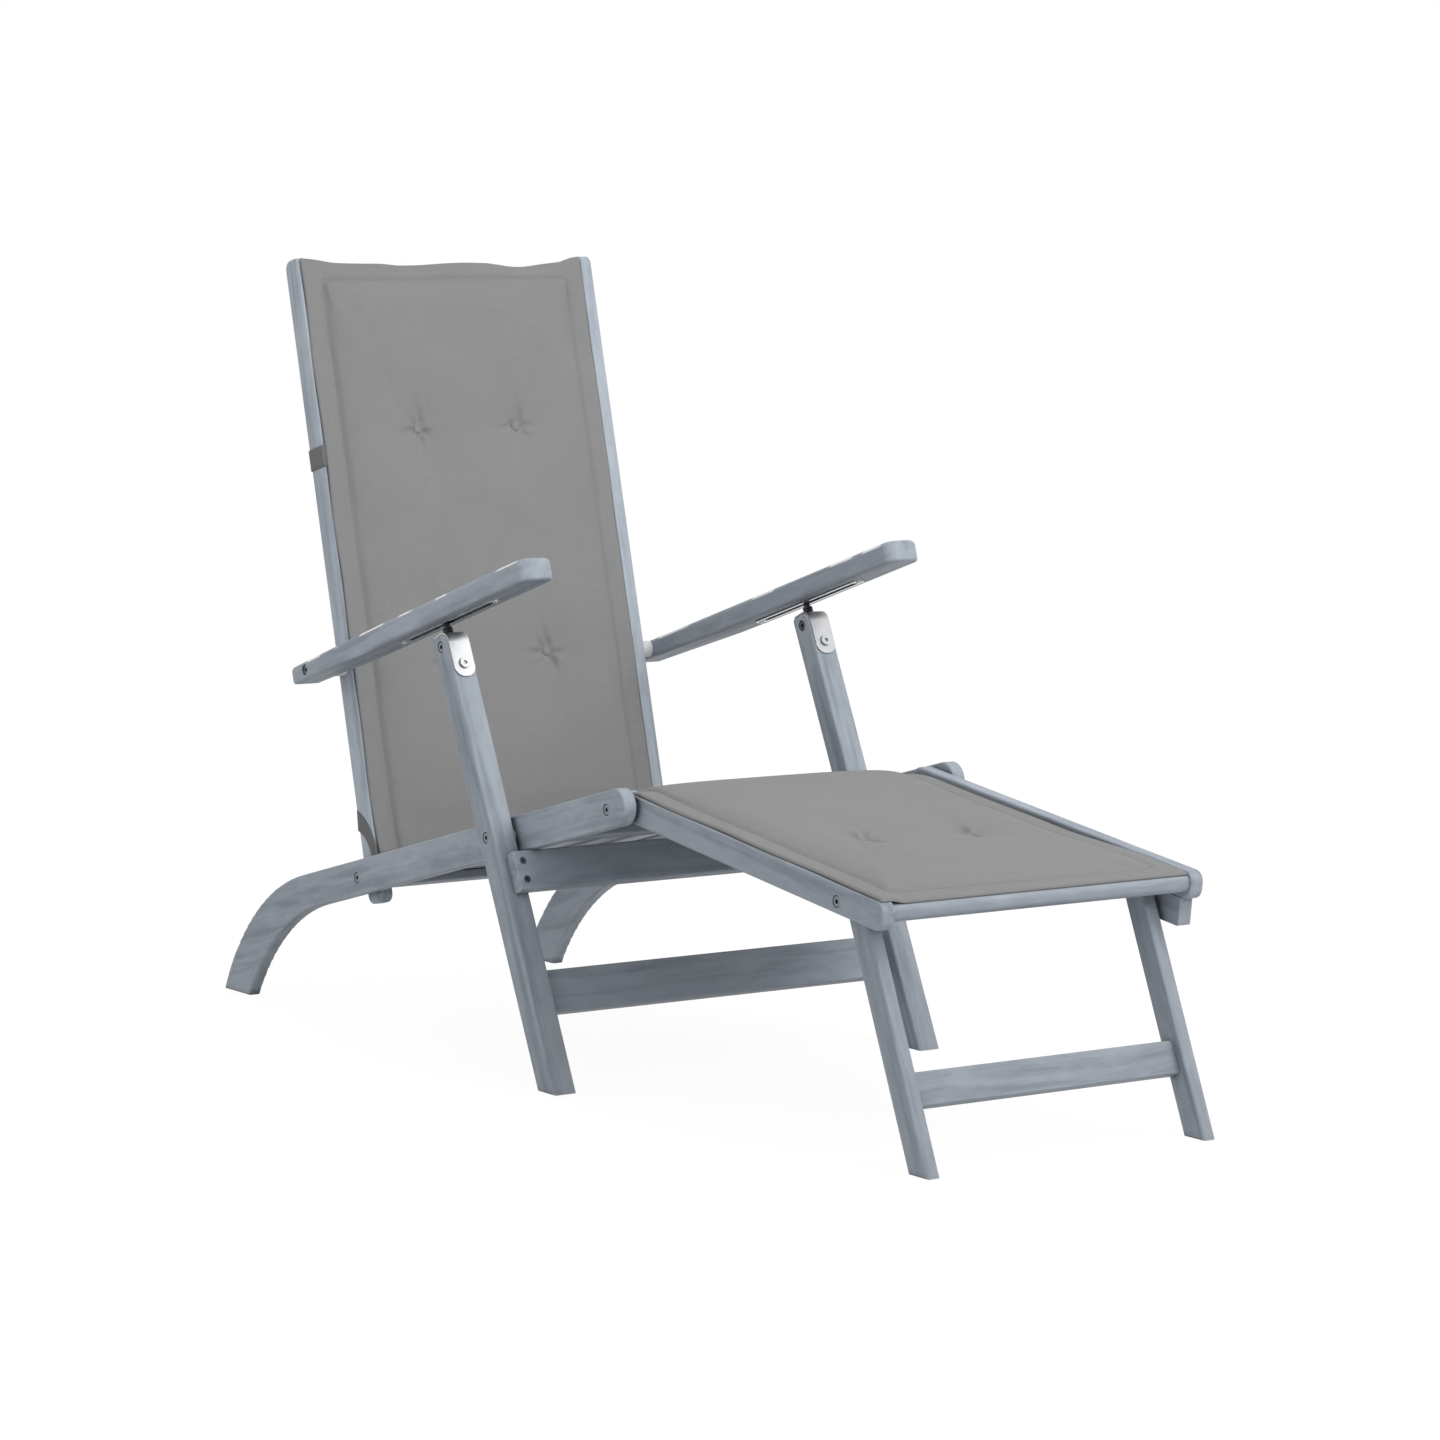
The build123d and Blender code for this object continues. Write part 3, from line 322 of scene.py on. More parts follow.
def plasticMaterial(name, color):
    material, tree, surface = newMaterial(name, 0.4)
    place = addNode(tree, "ShaderNodeTexCoord").outputs["Object"]
    grainy = noise(tree, place, 900.0, 2.0, 0.5)
    dusty = noise(tree, place, 60.0, 3.0, 0.6)
    dulled = mixed(tree, ramp(tree, dusty, 0.45, 0.8, 0.0, 0.25), color, (0.5, 0.5, 0.5, 1))
    tree.links.new(dulled, surface.inputs["Base Color"])
    tree.links.new(ramp(tree, dusty, 0.3, 0.7, 0.42, 0.6), surface.inputs["Roughness"])
    bumped(tree, surface, grainy, 0.15, 0.0002)
    return material


def sides(stem):
    return [stem + "_right", stem + "_left"]


def numbered(stem, count):
    return ["%s_%d" % (stem, number) for number in range(1, count + 1)]


# Each group's slope of the grain in side view, whether it runs across the chair, and the boards' spacing.
oneBoard = 9.0  # wider than the chair, for nodes that hold one board
boardRuns = {
    "woodSeat": (14.2, False, oneBoard, sides("seat_rail") + numbered("seat_slat", 8)),
    "woodSeatCross": (14.2, True, oneBoard, ["seat_rear_bar", "seat_front_bar"]),
    "woodLeg": (-64.9, False, oneBoard, sides("front_leg")),
    "woodLegCross": (-64.9, True, oneBoard, ["apron", "leg_stretcher"]),
    "woodBack": (104.4, False, oneBoard, sides("back_stile") + numbered("back_slat", 7)),
    "woodBackCross": (104.4, True, oneBoard, ["back_bottom_rail", "back_top_rail"]),
    "woodArm": (16.9, False, oneBoard, sides("arm")),
    "woodFootrest": (-7.5, False, 0.054, sides("footrest_rail") + ["footrest_slats", "stop_block"]),
    "woodFootrestCross": (-7.5, True, oneBoard, ["footrest_rear_bar", "footrest_front_bar"]),
    "woodFootLeg": (-66.9, False, oneBoard, sides("footrest_leg")),
    "woodFootLegCross": (-66.9, True, oneBoard, ["footrest_stretcher"]),
}
# The back's boards are given a paler tone, and the footrest's legs a darker one.
boardTones = {"woodBack": 1.25, "woodBackCross": 1.15, "woodFootLeg": 0.96, "woodFootLegCross": 0.93}
finishOf = {}
for materialName, (slope, crosswise, boardWidth, members) in boardRuns.items():
    tone = boardTones.get(materialName, washedWood["usualTone"])
    wood = woodMaterial(materialName, slope, crosswise, boardWidth, tone)
    finishOf.update({member: wood for member in members})

capSteel = metalMaterial("capSteel", (0.46, 0.465, 0.475), 1.0, 0.16)
# Painted light: the track plate faces down under the arm, and gets a paler steel than the caps so that it
# reads as lit.
trackSteel = metalMaterial("trackSteel", (0.64, 0.645, 0.655), 1.0, 0.05)
boltSteel = metalMaterial("boltSteel", (0.20, 0.215, 0.235), 0.5, 0.10)
darkSteel = metalMaterial("darkSteel", (0.045, 0.046, 0.05), 0.5, 0.12)
spacerNylon = plasticMaterial("spacerNylon", (0.74, 0.75, 0.76, 1))
cushionCloth = clothMaterial("cushionCloth", (0.258, 0.258, 0.258), 0.0011, 0.25, 0.06)
bandCloth = clothMaterial("bandCloth", (0.175, 0.176, 0.178), 0.0016, 0.35, 0.05)
boltNodes = ["leg_pivot_bolts", "footrest_pivot_bolts", "back_pivot_bolts", "footrest_leg_bolts"]
boltNodes += sides("arm_bolt") + ["cap_cross_bolts", "apron_screws"]
smallParts = (
    (capSteel, ["leg_caps", "cap_screws"]),
    (trackSteel, sides("arm_track") + sides("arm_track_screws")),
    (boltSteel, boltNodes),
    (darkSteel, ["leg_pins"]),
    (spacerNylon, ["pivot_washers", "footrest_leg_washers", "arm_spacers"]),
)
for material, members in smallParts:
    finishOf.update({member: material for member in members})
for member, material in finishOf.items():
    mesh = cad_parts[member].data
    mesh.materials.clear()
    mesh.materials.append(material)
print("materials on", len(finishOf), "CAD nodes")


# Cushion. A pad is drawn in its own place: s along the frame, y across the chair, n out of the frame.
backPivot, footPivot = Vector((-0.411323, 0, 0.1974)), Vector((0.197198, 0, 0.351379))


def placeOn(pivot, slope, flipped=False):
    turn = math.radians(slope)
    along = Vector((math.cos(turn), 0, math.sin(turn)))
    out = Vector((-math.sin(turn), 0, math.cos(turn)))
    return pivot, along, -out if flipped else out


def framePoint(place, s, y, n):
    pivot, along, out = place
    return np.array(pivot) + s * np.array(along) + y * np.array((0, 1, 0)) + n * np.array(out)


backPlace = placeOn(backPivot, 104.4, True)
seatPlace = placeOn(backPivot, 14.2)
footPlace = placeOn(footPivot, -7.5)
cushion = {
    "right": -0.2258, "left": 0.2105, "seam": 0.028, "sheet": 0.0044, "groove": 0.0022,
    "step": 0.0085, "fineStep": 0.0035, "fineReach": 0.021,
    "tufts": (-0.0855, 0.0665), "tuftDepth": 0.0085, "tuftWidth": 0.017, "tuftHeld": 0.006,
    "buttonRadius": 0.0068, "creaseDepth": 0.0034, "creaseWidth": 0.0024, "creaseReach": 0.044,
    "pressure": 1.8, "frames": 20, "overlap": 0.009, "firm": 0.016, "thinning": 0.06, "fill": 0.55,
}
stitch = {"length": 0.0030, "gap": 0.0016, "half": 0.00042, "sides": 6}


def smooth(low, high, value):
    t = np.clip((value - low) / (high - low), 0, 1)
    return t * t * (3 - 2 * t)


def backBase(s, y):
    # The flange lies on the near stile, and dips a little towards the top rail between the stiles.
    sag = smooth(0.78, 0.82, s) * smooth(-0.215, -0.17, y) * smooth(0.2105, 0.16, y)
    wave = 0.0022 * np.sin(y * 31 + 0.6) + 0.0012 * np.sin(y * 67 + 2)
    side = 0.0007 * np.sin(s * 23 + 1) + 0.0005 * np.sin(s * 51)
    return 0.0186 + side - 0.0035 * smooth(0.1, 0.21, y) - sag * (0.0045 - wave)


def seatBase(s, y):
    return 0.0115 + 0.0008 * np.sin(s * 27)


def footBase(s, y):
    # The near flange lies on its rail. The far one sinks beside its rail and rises to the front bar.
    far = smooth(-0.19, 0.2, y)
    sunk = 0.0102 - 0.0052 * smooth(0.28, 0.45, s)
    front = smooth(0.486, 0.510, s) * smooth(-0.212, -0.190, y)
    rounding = 0.009
    over = np.clip(s - 0.5235, 0, 0.0085)
    drop = rounding - np.sqrt(rounding**2 - over**2)
    return (0.0212 + 0.0003 * np.sin(s * 29 + 1) - far * sunk) * (1 - front) + 0.0171 * front - drop


pads = {
    "backCushion": {
        "place": backPlace, "start": 0.020, "end": 0.820, "open": (True, False), "base": backBase,
        "bed": 0.0045, "bodyRight": -0.206, "bodyLeft": 0.204, "side": 0.0062, "crown": 0.0105,
        "cap": 0.0045, "flipped": True, "tuftRows": (0.278, 0.586),
        # The upper hem's wave, as the place across and the shift along.
        "hem": [
            (-0.2265, 0.002), (-0.205, 0.0), (-0.177, -0.0045), (-0.102, -0.0055), (-0.077, -0.0075),
            (-0.039, -0.0073), (0.029, -0.005), (0.06, -0.0058), (0.098, -0.011), (0.12, -0.0108),
            (0.148, -0.007), (0.179, -0.0045), (0.198, 0.0015), (0.2105, 0.002),
        ],
        "body": "back", "node": "back_pad", "squashKeep": 0.2,
    },
    "seatCushion": {
        "place": seatPlace, "start": 0.046, "end": 0.611, "open": (True, True), "base": seatBase,
        "bed": 0.0041, "bodyRight": -0.214, "bodyLeft": 0.198, "side": 0.0062, "crown": 0.0115,
        "cap": 0.0045, "flipped": False, "tuftRows": (0.327,), "hem": None,
        "body": "seat", "node": "seat_pad", "squashKeep": 0.2,
    },
    "footCushion": {
        "place": footPlace, "start": 0.022, "end": 0.5285, "open": (True, False), "base": footBase,
        "bed": 0.0086, "bodyRight": -0.184, "bodyLeft": 0.184, "side": 0.0032, "crown": 0.0060,
        "cap": 0.0022, "flipped": False, "tuftRows": (0.290,), "hem": None,
        "body": "footrest", "node": "foot_pad", "squashKeep": None,
    },
}


def tuftsOf(pad):
    return [(row, column) for row in pad["tuftRows"] for column in cushion["tufts"]]


def gridLines(low, high, openEnds, tufts):
    # Lines close together at the edges, the seams and the tufts, wider apart elsewhere.
    c, seam = cushion, cushion["seam"]
    sewn = [share * seam for share in (0, 0.045, 0.15, 0.36, 0.6, 0.82)]
    sewn += [seam - 0.0018, seam, seam + 0.0016, seam + 0.0042, seam + 0.008]
    plain = [0, 0.004, 0.009, 0.016, 0.024]
    first, last = [plain if isOpen else sewn for isOpen in openEnds]
    lines, stop = [low + value for value in first], high - last[-1]
    while lines[-1] < stop - c["step"] * 0.6:
        near = any(abs(lines[-1] + c["fineStep"] - tuft) < c["fineReach"] for tuft in tufts)
        lines.append(lines[-1] + (c["fineStep"] if near else c["step"]))
    return np.array(lines[:-1] + [high - value for value in reversed(last)])


def padHeights(pad, s, y):
    # Height of the upper cloth, and how far inside the seam each point lies. Open ends have no seam.
    c = cushion
    gaps = [y - c["right"] - c["seam"], c["left"] - c["seam"] - y]
    if not pad["open"][0]:
        gaps.append(s - pad["start"] - c["seam"])
    if not pad["open"][1]:
        gaps.append(pad["end"] - c["seam"] - s)
    sharp = 260.0  # how tightly the panel's corners turn
    inside = -np.log(sum(np.exp(-sharp * np.clip(gap, -0.05, 0.25)) for gap in gaps)) / sharp
    edge = np.minimum.reduce([s - pad["start"], pad["end"] - s, y - c["right"], c["left"] - y])
    nearEdge = np.clip(edge / 0.003, 0, 1)
    rim = c["sheet"] * (0.5 + 0.5 * np.sqrt(nearEdge * (2 - nearEdge)))
    fill = np.clip(inside, 0, None)
    puff = pad["side"] * (1 - np.exp(-fill / 0.0035))
    puff = puff + (pad["crown"] - pad["side"]) * (1 - np.exp(-fill / 0.045))
    rise = rim + puff - c["groove"] * np.exp(-(inside / 0.0021) ** 2)
    for row, column in tuftsOf(pad):
        away = np.hypot(s - row, y - column)
        pit = 0.62 * np.exp(-(away / c["tuftWidth"]) ** 2) + 0.38 * np.exp(-(away / 0.045) ** 2)
        rise -= c["tuftDepth"] * pit
    return pad["base"](s, y) + rise, inside


def underHeights(pad, s, y):
    rounding = 0.012
    middle = smooth(pad["bodyRight"], pad["bodyRight"] + rounding, y)
    middle = middle * smooth(pad["bodyLeft"], pad["bodyLeft"] - rounding, y)
    middle = middle * smooth(pad["start"], pad["start"] + 0.02, s)
    middle = middle * smooth(pad["end"] - 0.006, pad["end"] - 0.03, s)
    return pad["base"](s, y) * (1 - middle) + pad["bed"] * middle


def creases(pad, s, y):
    # Short folds that run out from each tuft, each with its own direction and reach.
    folds = ((4, 0.75), (91, 1.3), (183, 0.95), (268, 1.0), (305, 0.8), (128, 0.5))
    depth, reachOf = cushion["creaseDepth"], cushion["creaseReach"]
    drop, turn = np.zeros_like(s), 0
    for row, column in tuftsOf(pad):
        for angle, reach in folds:
            turn += 1
            swing = math.radians(angle + 11 * math.sin(turn * 2.7))
            ds, dy = s - row, y - column
            out = ds * math.sin(swing) + dy * math.cos(swing)
            off = ds * math.cos(swing) - dy * math.sin(swing) + 0.004 * np.sin(out * 60 + turn)
            fade = smooth(0.004, 0.010, out) * smooth(reachOf * reach, 0.010, out)
            spread = cushion["creaseWidth"] * (1 + out.clip(0) * 30)
            valley = np.exp(-(off / spread) ** 2)
            banks = np.exp(-((np.abs(off) - 2 * spread) / spread) ** 2)
            drop += depth * fade * (valley - 0.4 * banks)
    return drop


def meshPiece(name, points, faces, materials):
    mesh = bpy.data.meshes.new(name)
    mesh.from_pydata([tuple(point) for point in points], [], [tuple(face) for face in faces])
    for material in materials:
        mesh.materials.append(material)
    mesh.polygons.foreach_set("use_smooth", [True] * len(mesh.polygons))
    mesh.update()
    piece = bpy.data.objects.new(name, mesh)
    scene.collection.objects.link(piece)
    return piece


def keepPlace(piece, places):
    # The cloth's own place, so that the weave runs with the cloth at every pose.
    held = piece.data.attributes.new("clothPlace", "FLOAT_VECTOR", "POINT")
    held.data.foreach_set("vector", np.asarray(places, np.float32).ravel())


def roundOff(piece):
    rounder = piece.modifiers.new("rounder", "SUBSURF")
    rounder.levels = rounder.render_levels = 1


def inflate(piece, pinned, cap):
    # Real cloth under light air pressure, held at the seams and tufts. Each point's travel is capped.
    held = piece.vertex_groups.new(name="held")
    held.add([int(index) for index in np.nonzero(pinned)[0]], 1.0, "REPLACE")
    cloth = piece.modifiers.new("fill", "CLOTH")
    settings = cloth.settings
    settings.quality, settings.mass = 5, 0.25
    settings.tension_stiffness = settings.compression_stiffness = 14
    settings.shear_stiffness, settings.bending_stiffness = 6, 0.8
    settings.vertex_group_mass = "held"
    settings.use_pressure, settings.uniform_pressure_force = True, cushion["pressure"]
    settings.effector_weights.gravity = 0
    settings.shrink_min = 0.0
    cloth.collision_settings.use_collision = False
    cloth.point_cache.frame_start, cloth.point_cache.frame_end = 1, cushion["frames"]
    for step in range(1, cushion["frames"] + 1):
        scene.frame_set(step)
    settled = piece.evaluated_get(bpy.context.evaluated_depsgraph_get())
    count = len(piece.data.vertices)
    start, moved = np.zeros(count * 3), np.zeros(count * 3)
    piece.data.vertices.foreach_get("co", start)
    settled.data.vertices.foreach_get("co", moved)
    piece.modifiers.remove(cloth)
    scene.frame_set(1)
    travel = (moved - start).reshape(-1, 3)
    length = np.linalg.norm(travel, axis=1, keepdims=True)
    return start.reshape(-1, 3) + travel * np.minimum(1, cap / np.maximum(length, 1e-9))


def button(centre, radius):
    # A covered button: a low dome with a rolled rim, drawn as rings.
    top, count = 0.0027, 20
    profile = ((0.35, 0.0026), (0.66, 0.0021), (0.88, 0.0012), (1.0, 0.0), (0.97, -0.0012), (0.8, -0.0022))
    points, faces = [(centre[0], centre[1], centre[2] + top)], []
    for share, lift in profile:
        for k in range(count):
            turn = 2 * math.pi * k / count
            s = centre[0] + radius * share * math.cos(turn)
            points.append((s, centre[1] + radius * share * math.sin(turn), centre[2] + lift))
    for k in range(count):
        faces.append((0, 1 + k, 1 + (k + 1) % count))
    for ring in range(len(profile) - 1):
        a, b = 1 + ring * count, 1 + (ring + 1) * count
        for k in range(count):
            faces.append((a + k, b + k, b + (k + 1) % count, a + (k + 1) % count))
    faces.append(tuple(1 + (len(profile) - 1) * count + k for k in reversed(range(count))))
    return points, faces


def stitchRun(pad, low, high, fixed, alongRows):
    # Small threads that stand in the seam's groove, one after another.
    runs, place, around = [], low, stitch["sides"]
    while place + stitch["length"] < high:
        runs.append((place, place + stitch["length"]))
        place += stitch["length"] + stitch["gap"]
    rings = ((0.0, 0.15), (0.18, 1.0), (0.5, 1.1), (0.82, 1.0), (1.0, 0.15))
    points, faces = [], []
    for first, last in runs:
        for share, thick in rings:
            run = first + (last - first) * share
            s, y = (run, fixed) if alongRows else (fixed, run)
            level = float(pad["base"](np.array(s), np.array(y))) + cushion["sheet"] - cushion["groove"]
            level = level + 0.0007 * math.sin(math.pi * share) + 0.0001
            for turn in range(around):
                angle = 2 * math.pi * turn / around
                sway = stitch["half"] * thick * math.cos(angle)
                lift = stitch["half"] * thick * math.sin(angle)
                points.append((s, y + sway, level + lift) if alongRows else (s + sway, y, level + lift))
        base = len(points) - around * len(rings)
        for ring in range(len(rings) - 1):
            for k in range(around):
                a, b = base + ring * around + k, base + ring * around + (k + 1) % around
                face = (a, b, b + around, a + around)
                faces.append((b, a, a + around, b + around) if alongRows else face)
    return points, faces


def wavedEdge(s, y):
    return y + 0.0008 * smooth(0.028, 0.0, y - cushion["right"]) * np.sin(s * 34 + 1)


def fillPad(piece, pad, s, y, inside, count):
    # The filling presses up between the seams and tufts, and thins out towards an open end.
    c = cushion
    firmStart, firmEnd = pad["start"] + c["firm"], pad["end"] - c["firm"]
    loose = inside > 0.0012
    if pad["open"][0]:
        loose &= s > firmStart
    if pad["open"][1]:
        loose &= s < firmEnd
    for row, column in tuftsOf(pad):
        loose &= np.hypot(s - row, y - column) > c["tuftHeld"]
    before = np.zeros(len(piece.data.vertices) * 3)
    piece.data.vertices.foreach_get("co", before)
    before = before.reshape(-1, 3)
    pinned = np.ones(len(before), bool)
    pinned[:count] = ~loose.reshape(-1)
    filled = inflate(piece, pinned, pad["cap"])
    ease = np.ones(len(before))
    if pad["open"][0]:
        ease *= smooth(firmStart, firmStart + c["thinning"], before[:, 0])
    if pad["open"][1]:
        ease *= smooth(firmEnd, firmEnd - c["thinning"], before[:, 0])
    return before + (filled - before) * ease[:, None]


def addPart(points, faces, part):
    # Adds a part's points and faces to the lists, with its faces counted on from them.
    more, moreFaces = part
    faces += [tuple(index + len(points) for index in face) for face in moreFaces]
    points += more


def sewPad(name, pad):
    c = cushion
    rows = gridLines(pad["start"], pad["end"], pad["open"], pad["tuftRows"])
    columns = gridLines(c["right"], c["left"], (False, False), c["tufts"])
    s, y = np.meshgrid(rows, columns, indexing="ij")
    top, inside = padHeights(pad, s, y)
    under = underHeights(pad, s, y)
    border = np.zeros_like(s, bool)
    border[0], border[-1], border[:, 0], border[:, -1] = True, True, True, True
    top = np.where(border, pad["base"](s, y) + c["sheet"] * 0.25, top)
    count = s.size
    upper = np.arange(count).reshape(s.shape)
    lower = np.where(border, upper, 0)
    lower[~border] = count + np.arange((~border).sum())
    upperCloth, underCloth = np.stack([s, y, top], -1), np.stack([s, y, under], -1)
    points = np.concatenate([upperCloth.reshape(-1, 3), underCloth[~border]])
    faces = []
    for i in range(len(rows) - 1):
        for j in range(len(columns) - 1):
            faces.append((upper[i, j], upper[i + 1, j], upper[i + 1, j + 1], upper[i, j + 1]))
            faces.append((lower[i, j], lower[i, j + 1], lower[i + 1, j + 1], lower[i + 1, j]))
    draft = meshPiece(name, points, faces, [cushionCloth])
    points = fillPad(draft, pad, s, y, inside, count)
    bpy.data.objects.remove(draft)
    points[:count, 2] -= creases(pad, s, y).reshape(-1)
    allPoints, allFaces = [tuple(point) for point in points], list(faces)
    for row, column in tuftsOf(pad):
        nearest = int(np.argmin(np.hypot(s - row, y - column)))
        centre = (row, column, points[nearest][2] + 0.0006)
        addPart(allPoints, allFaces, button(centre, c["buttonRadius"]))
    clothFaces = len(allFaces)
    low = pad["start"] + (c["firm"] if pad["open"][0] else c["seam"])
    high = pad["end"] - (c["firm"] if pad["open"][1] else c["seam"])
    right, left, clear = c["right"] + c["seam"], c["left"] - c["seam"], 0.004
    runs = [(low, high, right, True), (low, high, left, True)]
    runs += [] if pad["open"][1] else [(right, left, high, False)]
    for first, last, fixed, alongRows in runs:
        addPart(allPoints, allFaces, stitchRun(pad, first + clear, last - clear, fixed, alongRows))
    allPoints = np.array(allPoints)
    if pad["hem"]:
        ys, shifts = zip(*pad["hem"])
        pull = smooth(pad["end"] - c["seam"], pad["end"], allPoints[:, 0])
        allPoints[:, 0] += pull * np.interp(allPoints[:, 1], ys, shifts)
    allPoints[:, 1] = wavedEdge(allPoints[:, 0], allPoints[:, 1])
    placed = framePoint(pad["place"], allPoints[:, :1], allPoints[:, 1:2], allPoints[:, 2:])
    if pad["flipped"]:
        allFaces = [tuple(reversed(face)) for face in allFaces]
    final = meshPiece(name, placed, allFaces, [cushionCloth, bandCloth])
    finishes = [0] * clothFaces + [1] * (len(allFaces) - clothFaces)
    final.data.polygons.foreach_set("material_index", finishes)
    keepPlace(final, allPoints)
    roundOff(final)
    pad["rows"], pad["topGrid"] = rows, points[:count].reshape(s.shape + (3,))
    return final


cushionPieces = {}
for padName, pad in pads.items():
    cushionPieces[padName] = sewPad(padName, pad)
    print("sewn", padName, len(cushionPieces[padName].data.vertices), "points")


# Folds of cloth that close the crease at the back and the knee at the footrest
fold = {"rows": 14, "highRows": 7, "edge": 0.0006, "length": 0.07, "bendRise": 0.017, "bendOut": 0.0004}


def padRow(padName, atStart):
    # A row of the pad's upper cloth a little inside its open end, where a fold takes over.
    pad = pads[padName]
    wanted = pad["start"] + cushion["overlap"] if atStart else pad["end"] - cushion["overlap"]
    row = pad["topGrid"][int(np.argmin(np.abs(pad["rows"] - wanted)))].copy()
    row[:, 1] = wavedEdge(row[:, 0], row[:, 1])
    row[:, 2] -= 0.0002
    return row


def onFrame(place, row):
    return np.array([framePoint(place, *point) for point in row])


def toward(place, share):
    return share * np.array(place[1])


def sewFold(name, first, firstAway, last, lastAway, rowsCount=fold["rows"]):
    # Cloth between two rows of points: a smooth curve at each place across, with a lining below.
    share = np.linspace(0, 1, rowsCount)[:, None, None]
    middle = (2 * share**3 - 3 * share**2 + 1) * first + (share**3 - 2 * share**2 + share) * firstAway
    middle = middle + (3 * share**2 - 2 * share**3) * last + (share**3 - share**2) * lastAway
    down, across = np.gradient(middle, axis=0), np.gradient(middle, axis=1)
    normal = np.cross(down, across)
    normal /= np.linalg.norm(normal, axis=2, keepdims=True)
    thick = np.full(middle.shape[1], cushion["sheet"])
    thick[0] = thick[-1] = fold["edge"]
    lower = middle - normal * thick[None, :, None]
    count, wide = rowsCount * middle.shape[1], middle.shape[1]
    points = np.concatenate([middle.reshape(-1, 3), lower.reshape(-1, 3)])
    faces = []
    for i in range(rowsCount - 1):
        for j in range(wide - 1):
            a = i * wide + j
            faces.append((a, a + wide, a + wide + 1, a + 1))
            faces.append((count + a, count + a + 1, count + a + wide + 1, count + a + wide))
        for j, flip in ((0, False), (wide - 1, True)):
            a = i * wide + j
            face = (a, count + a, count + a + wide, a + wide)
            faces.append(tuple(reversed(face)) if flip else face)
    for i, flip in ((0, True), (rowsCount - 1, False)):
        for j in range(wide - 1):
            a = i * wide + j
            face = (a, count + a, count + a + 1, a + 1)
            faces.append(face if flip else tuple(reversed(face)))
    piece = meshPiece(name, points, faces, [cushionCloth])
    run = np.linspace(0, fold["length"], rowsCount)[:, None] + np.zeros(wide)
    places = np.stack([run, middle[:, :, 1], np.zeros_like(run)], -1).reshape(-1, 3)
    keepPlace(piece, np.concatenate([places, places]))
    roundOff(piece)
    return piece


seatRearRow, backLowRow = padRow("seatCushion", True), padRow("backCushion", True)
seatFrontRow, footRearRow = padRow("seatCushion", False), padRow("footCushion", True)
bendRow = backLowRow.copy()
bendRow[:, 0] = fold["bendRise"]
bendRow[:, 2] += fold["bendOut"]
bendPoints, backLowPoints = onFrame(backPlace, bendRow), onFrame(backPlace, backLowRow)
creaseLow = sewFold(
    "creaseFoldLow", onFrame(seatPlace, seatRearRow), toward(seatPlace, -0.036),
    bendPoints, toward(backPlace, 0.016))
creaseHigh = sewFold(
    "creaseFoldHigh", bendPoints, toward(backPlace, 0.012),
    backLowPoints, toward(backPlace, 0.012), fold["highRows"])
kneeFold = sewFold(
    "kneeFold", onFrame(seatPlace, seatFrontRow), toward(seatPlace, 0.060),
    onFrame(footPlace, footRearRow), toward(footPlace, 0.060))
print("folds sewn")


# Bands that hold the cushion to the back
band = {
    "width": 0.028, "thickness": 0.0014, "upperRise": 0.556, "lowerRise": 0.078,
    "stileOuter": 0.228, "stileHalf": 0.018, "rounds": 3,
}


def softened(values):
    # Cuts each corner off at a quarter of its sides, and keeps the ends.
    eased = [values[0]]
    for first, second in zip(values, values[1:]):
        eased += [first * 0.75 + second * 0.25, first * 0.25 + second * 0.75]
    return eased + [values[-1]]


def layBand(name, centres, halves):
    # A flat band through given centres, each with its half-width vector, with softly rounded turns.
    centres, halves = [np.array(point) for point in centres], [np.array(half) for half in halves]
    for _ in range(band["rounds"]):
        centres, halves = softened(centres), softened(halves)
    points, faces, places, run = [], [], [], 0.0
    spans = (-1.0, -0.96, -0.5, 0.0, 0.5, 0.96, 1.0)
    ring = len(spans) * 2
    for k, centre in enumerate(centres):
        ahead = centres[min(k + 1, len(centres) - 1)] - centres[max(k - 1, 0)]
        if k:
            run += float(np.linalg.norm(centre - centres[k - 1]))
        normal = np.cross(ahead, halves[k])
        normal /= np.linalg.norm(normal)
        for face, order in ((1, spans), (-1, reversed(spans))):
            for span in order:
                thick = band["thickness"] / 2 * (0.35 if abs(span) == 1 else 1.0)
                points.append(centre + halves[k] * span + normal * face * thick)
                places.append((run, span * band["width"] / 2, 0))
    for k in range(len(centres) - 1):
        for j in range(ring):
            a, b = k * ring + j, k * ring + (j + 1) % ring
            faces.append((a, a + ring, b + ring, b))
    faces.append(tuple(range(ring)))
    faces.append(tuple(reversed(range((len(centres) - 1) * ring, len(centres) * ring))))
    piece = meshPiece(name, points, faces, [bandCloth])
    keepPlace(piece, places)
    return piece


def upperBand():
    # From the near stile's front round its outer side, behind the slats, to the far stile's inner side.
    outer, half = band["stileOuter"] + 0.0009, band["stileHalf"] + 0.0009
    route = [
        (-0.2235, 0.0194), (-outer, 0.0188), (-outer, half - 0.001), (-outer, 0.0), (-outer, -half),
        (-outer + 0.003, -half - 0.0002), (-0.12, -half + 0.0014), (0.10, -half + 0.0016),
        (0.196, -half + 0.002), (0.2085, -0.0155), (0.2088, -0.004), (0.2086, 0.012), (0.2072, 0.0172),
    ]
    along = np.array(backPlace[1]) * band["width"] / 2
    centres = [framePoint(backPlace, band["upperRise"], y, n) for y, n in route]
    return layBand("upperBand", centres, [along] * len(centres))


